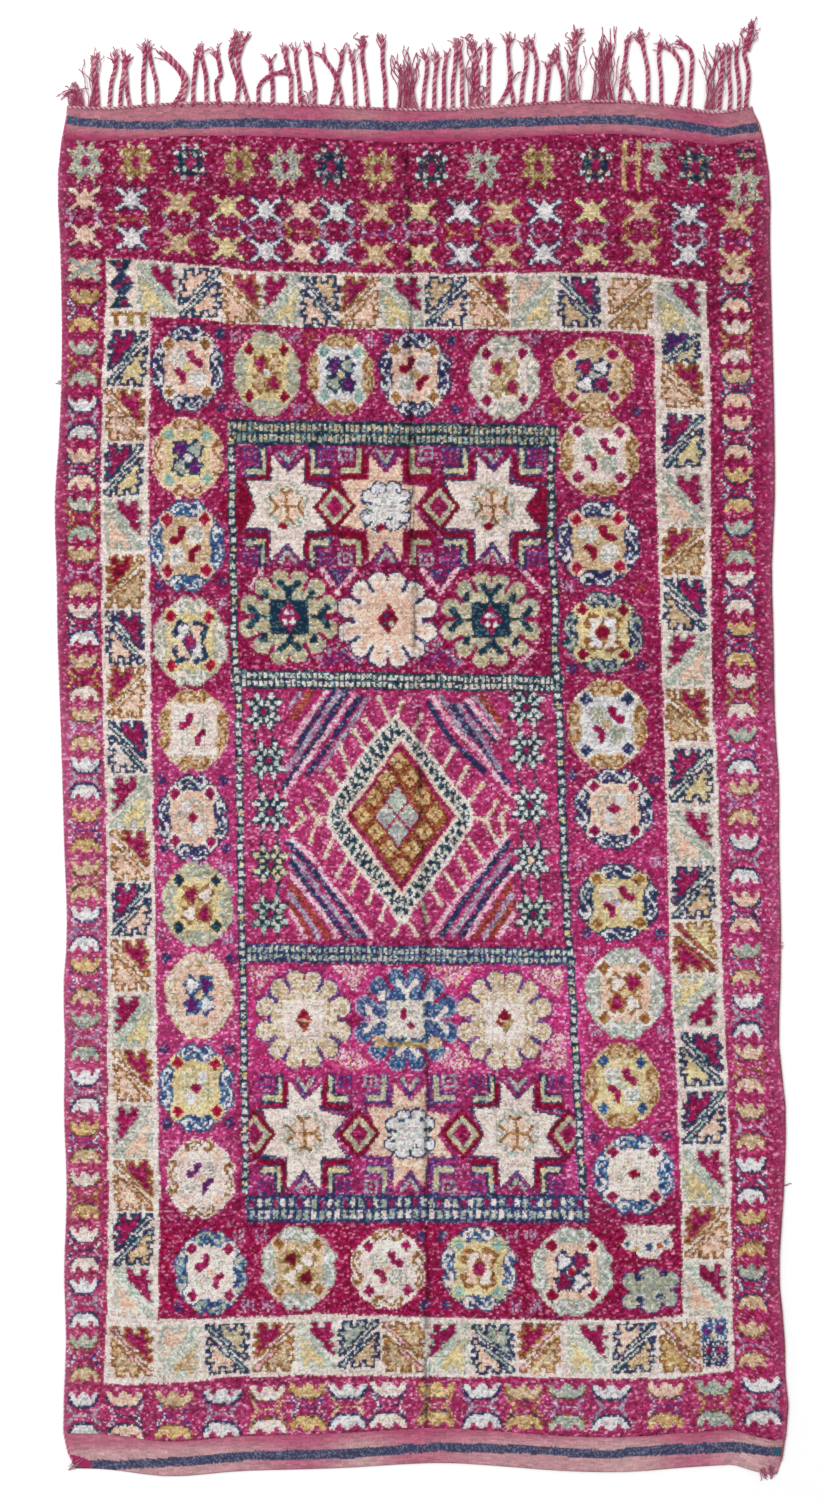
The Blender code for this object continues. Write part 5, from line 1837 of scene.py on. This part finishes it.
across_line, down_line = steps(pile_x, pile_y)
row_number = np.arange(PILE_ROWS + 1)[:, None]
height = PILE_HEIGHT + PILE_RIB * np.where(row_number % 2 == 0, 1, -1)
height = height + PILE_RAGGED * draw.normal(0, 1, pile_x.shape)
clumps = draw.normal(0, 1, (PILE_ROWS // 4 + 2, PILE_COLUMNS // 3 + 2))
clumps = np.repeat(np.repeat(clumps, 4, axis=0), 3, axis=1)[: PILE_ROWS + 1, : PILE_COLUMNS + 1]
height += PILE_CLUMPS * clumps
crease = np.exp(-(((across_line - CREASE_LINE(down_line)) * STEP / CREASE_HALF) ** 2))
height -= CREASE_DEPTH * crease
height -= SIDE_DROP * np.exp(-np.clip(from_sides(pile_x, pile_y), 0, None) / SIDE_RUN)
ends = np.minimum(top_at(pile_x) - TOP_BAND - pile_y, pile_y - bottom_at(pile_x) - BOTTOM_BAND)
height -= END_DROP * np.exp(-np.clip(ends, 0, None) / END_RUN)
jitter = PILE_JITTER * draw.normal(0, 1, (2, *pile_x.shape))
pile_x, pile_y = pile_x + jitter[0], pile_y + jitter[1]

PILE_WOOL = pile_finish()
for strip in range(PILE_STRIPS):
    low = strip * PILE_COLUMNS // PILE_STRIPS
    high = (strip + 1) * PILE_COLUMNS // PILE_STRIPS
    grids = (grid[:, low : high + 1] for grid in (pile_x, pile_y, height))
    made = slab(f"pile_{strip + 1}", *grids, GROUND_THICK - SUNK_IN, colours[:, low:high], 3, PILE_WOOL)
    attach(made, "root")


# The sides: the outermost warps, overcast with wool yarn into a thin hard cord down each side.
SIDE_WINDING = dict(Radius=0.0017, Spread=0.0015, Flatness=1.0, Twist=0.013, Step=0.0034, Sides=5)
SIDE_POINTS = 420
SIDE_FROM_TOP = 0.004
SIDE_FROM_BOTTOM = 0.006
SIDE_INSET = 0.0026
SIDE_LIFT = 0.0034


def side_cord(name, edge_at, inwards, finish):
    y = np.linspace(top_at(0.0) - SIDE_FROM_TOP, bottom_at(0.0) + SIDE_FROM_BOTTOM, SIDE_POINTS)
    x = edge_at(y) + inwards * SIDE_INSET
    path = np.column_stack([x, y, np.full(SIDE_POINTS, SIDE_LIFT)])
    made = spun(name, [(path, np.ones(SIDE_POINTS), 0.0)], finish, SIDE_WINDING)
    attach(made, "root")
    return made


LEFT_WOOL = cord_finish("faded side yarn", (204, 132, 164), (176, 64, 120), (206, 172, 176))
left_cord = side_cord("side_cord_left", left_at, 1, LEFT_WOOL)
RIGHT_WOOL = cord_finish("brown side yarn", (166, 84, 92), (132, 66, 60), (190, 120, 132))
right_cord = side_cord("side_cord_right", right_at, -1, RIGHT_WOOL)


# The twining along the fringe end: two yarns that lock the last weft, round every warp.
# A few loose yarn ends stick out at the sides, and the lower right corner is ragged.
TWINE_WINDING = dict(Radius=0.0022, Spread=0.0020, Flatness=0.7, Twist=0.012, Step=0.0022, Sides=5)
TWINE_POINTS = 400
TWINE_FROM_SIDE = 0.004
TWINE_PAST_END = 0.0045
TWINE_LIFT = 0.0052

twine_from, twine_to = left_at(DESIGN_TOP) + TWINE_FROM_SIDE, right_at(DESIGN_TOP) - TWINE_FROM_SIDE
twine_x = np.linspace(twine_from, twine_to, TWINE_POINTS)
twine_lift = np.full(TWINE_POINTS, TWINE_LIFT)
twine_path = np.column_stack([twine_x, top_at(twine_x) + TWINE_PAST_END, twine_lift])
TWINE_WOOL = cord_finish("twining wool", (198, 138, 152), (146, 76, 102), (208, 184, 178))
end_twining = spun("end_twining", [(twine_path, np.ones(TWINE_POINTS), 0.0)], TWINE_WOOL, TWINE_WINDING)
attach(end_twining, "root")

LOOSE_WINDING = {**THREAD_WINDING, "Step": 0.004}
LOOSE_WAVES = 0.003
ROOT_SCATTER = 0.004
END_SCATTER = 0.005
# Loose ends: root, tip and how many yarns
LOOSE_ENDS = (
    ((68, 384), (58, 383), 3), ((754, 279), (768, 278), 3), ((768, 945), (783, 946), 3),
    ((772, 1188), (787, 1186), 3), ((80, 1460), (70, 1469), 4), ((762, 1468), (765, 1478), 8),
    ((770, 1464), (772, 1477), 5),
)
loose = []
for root, tip, count in LOOSE_ENDS:
    for _ in range(count):
        start = on_rug(root) + rng.normal(0, ROOT_SCATTER, 2)
        loose.append(thread(start, on_rug(tip) + rng.normal(0, END_SCATTER, 2), (0, 0), LOOSE_WAVES))
LOOSE_WOOL = cord_finish("loose yarn", (188, 108, 130), (158, 52, 96), (206, 164, 162))
loose_yarns = spun("loose_yarns", loose, LOOSE_WOOL, LOOSE_WINDING)
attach(loose_yarns, "root")
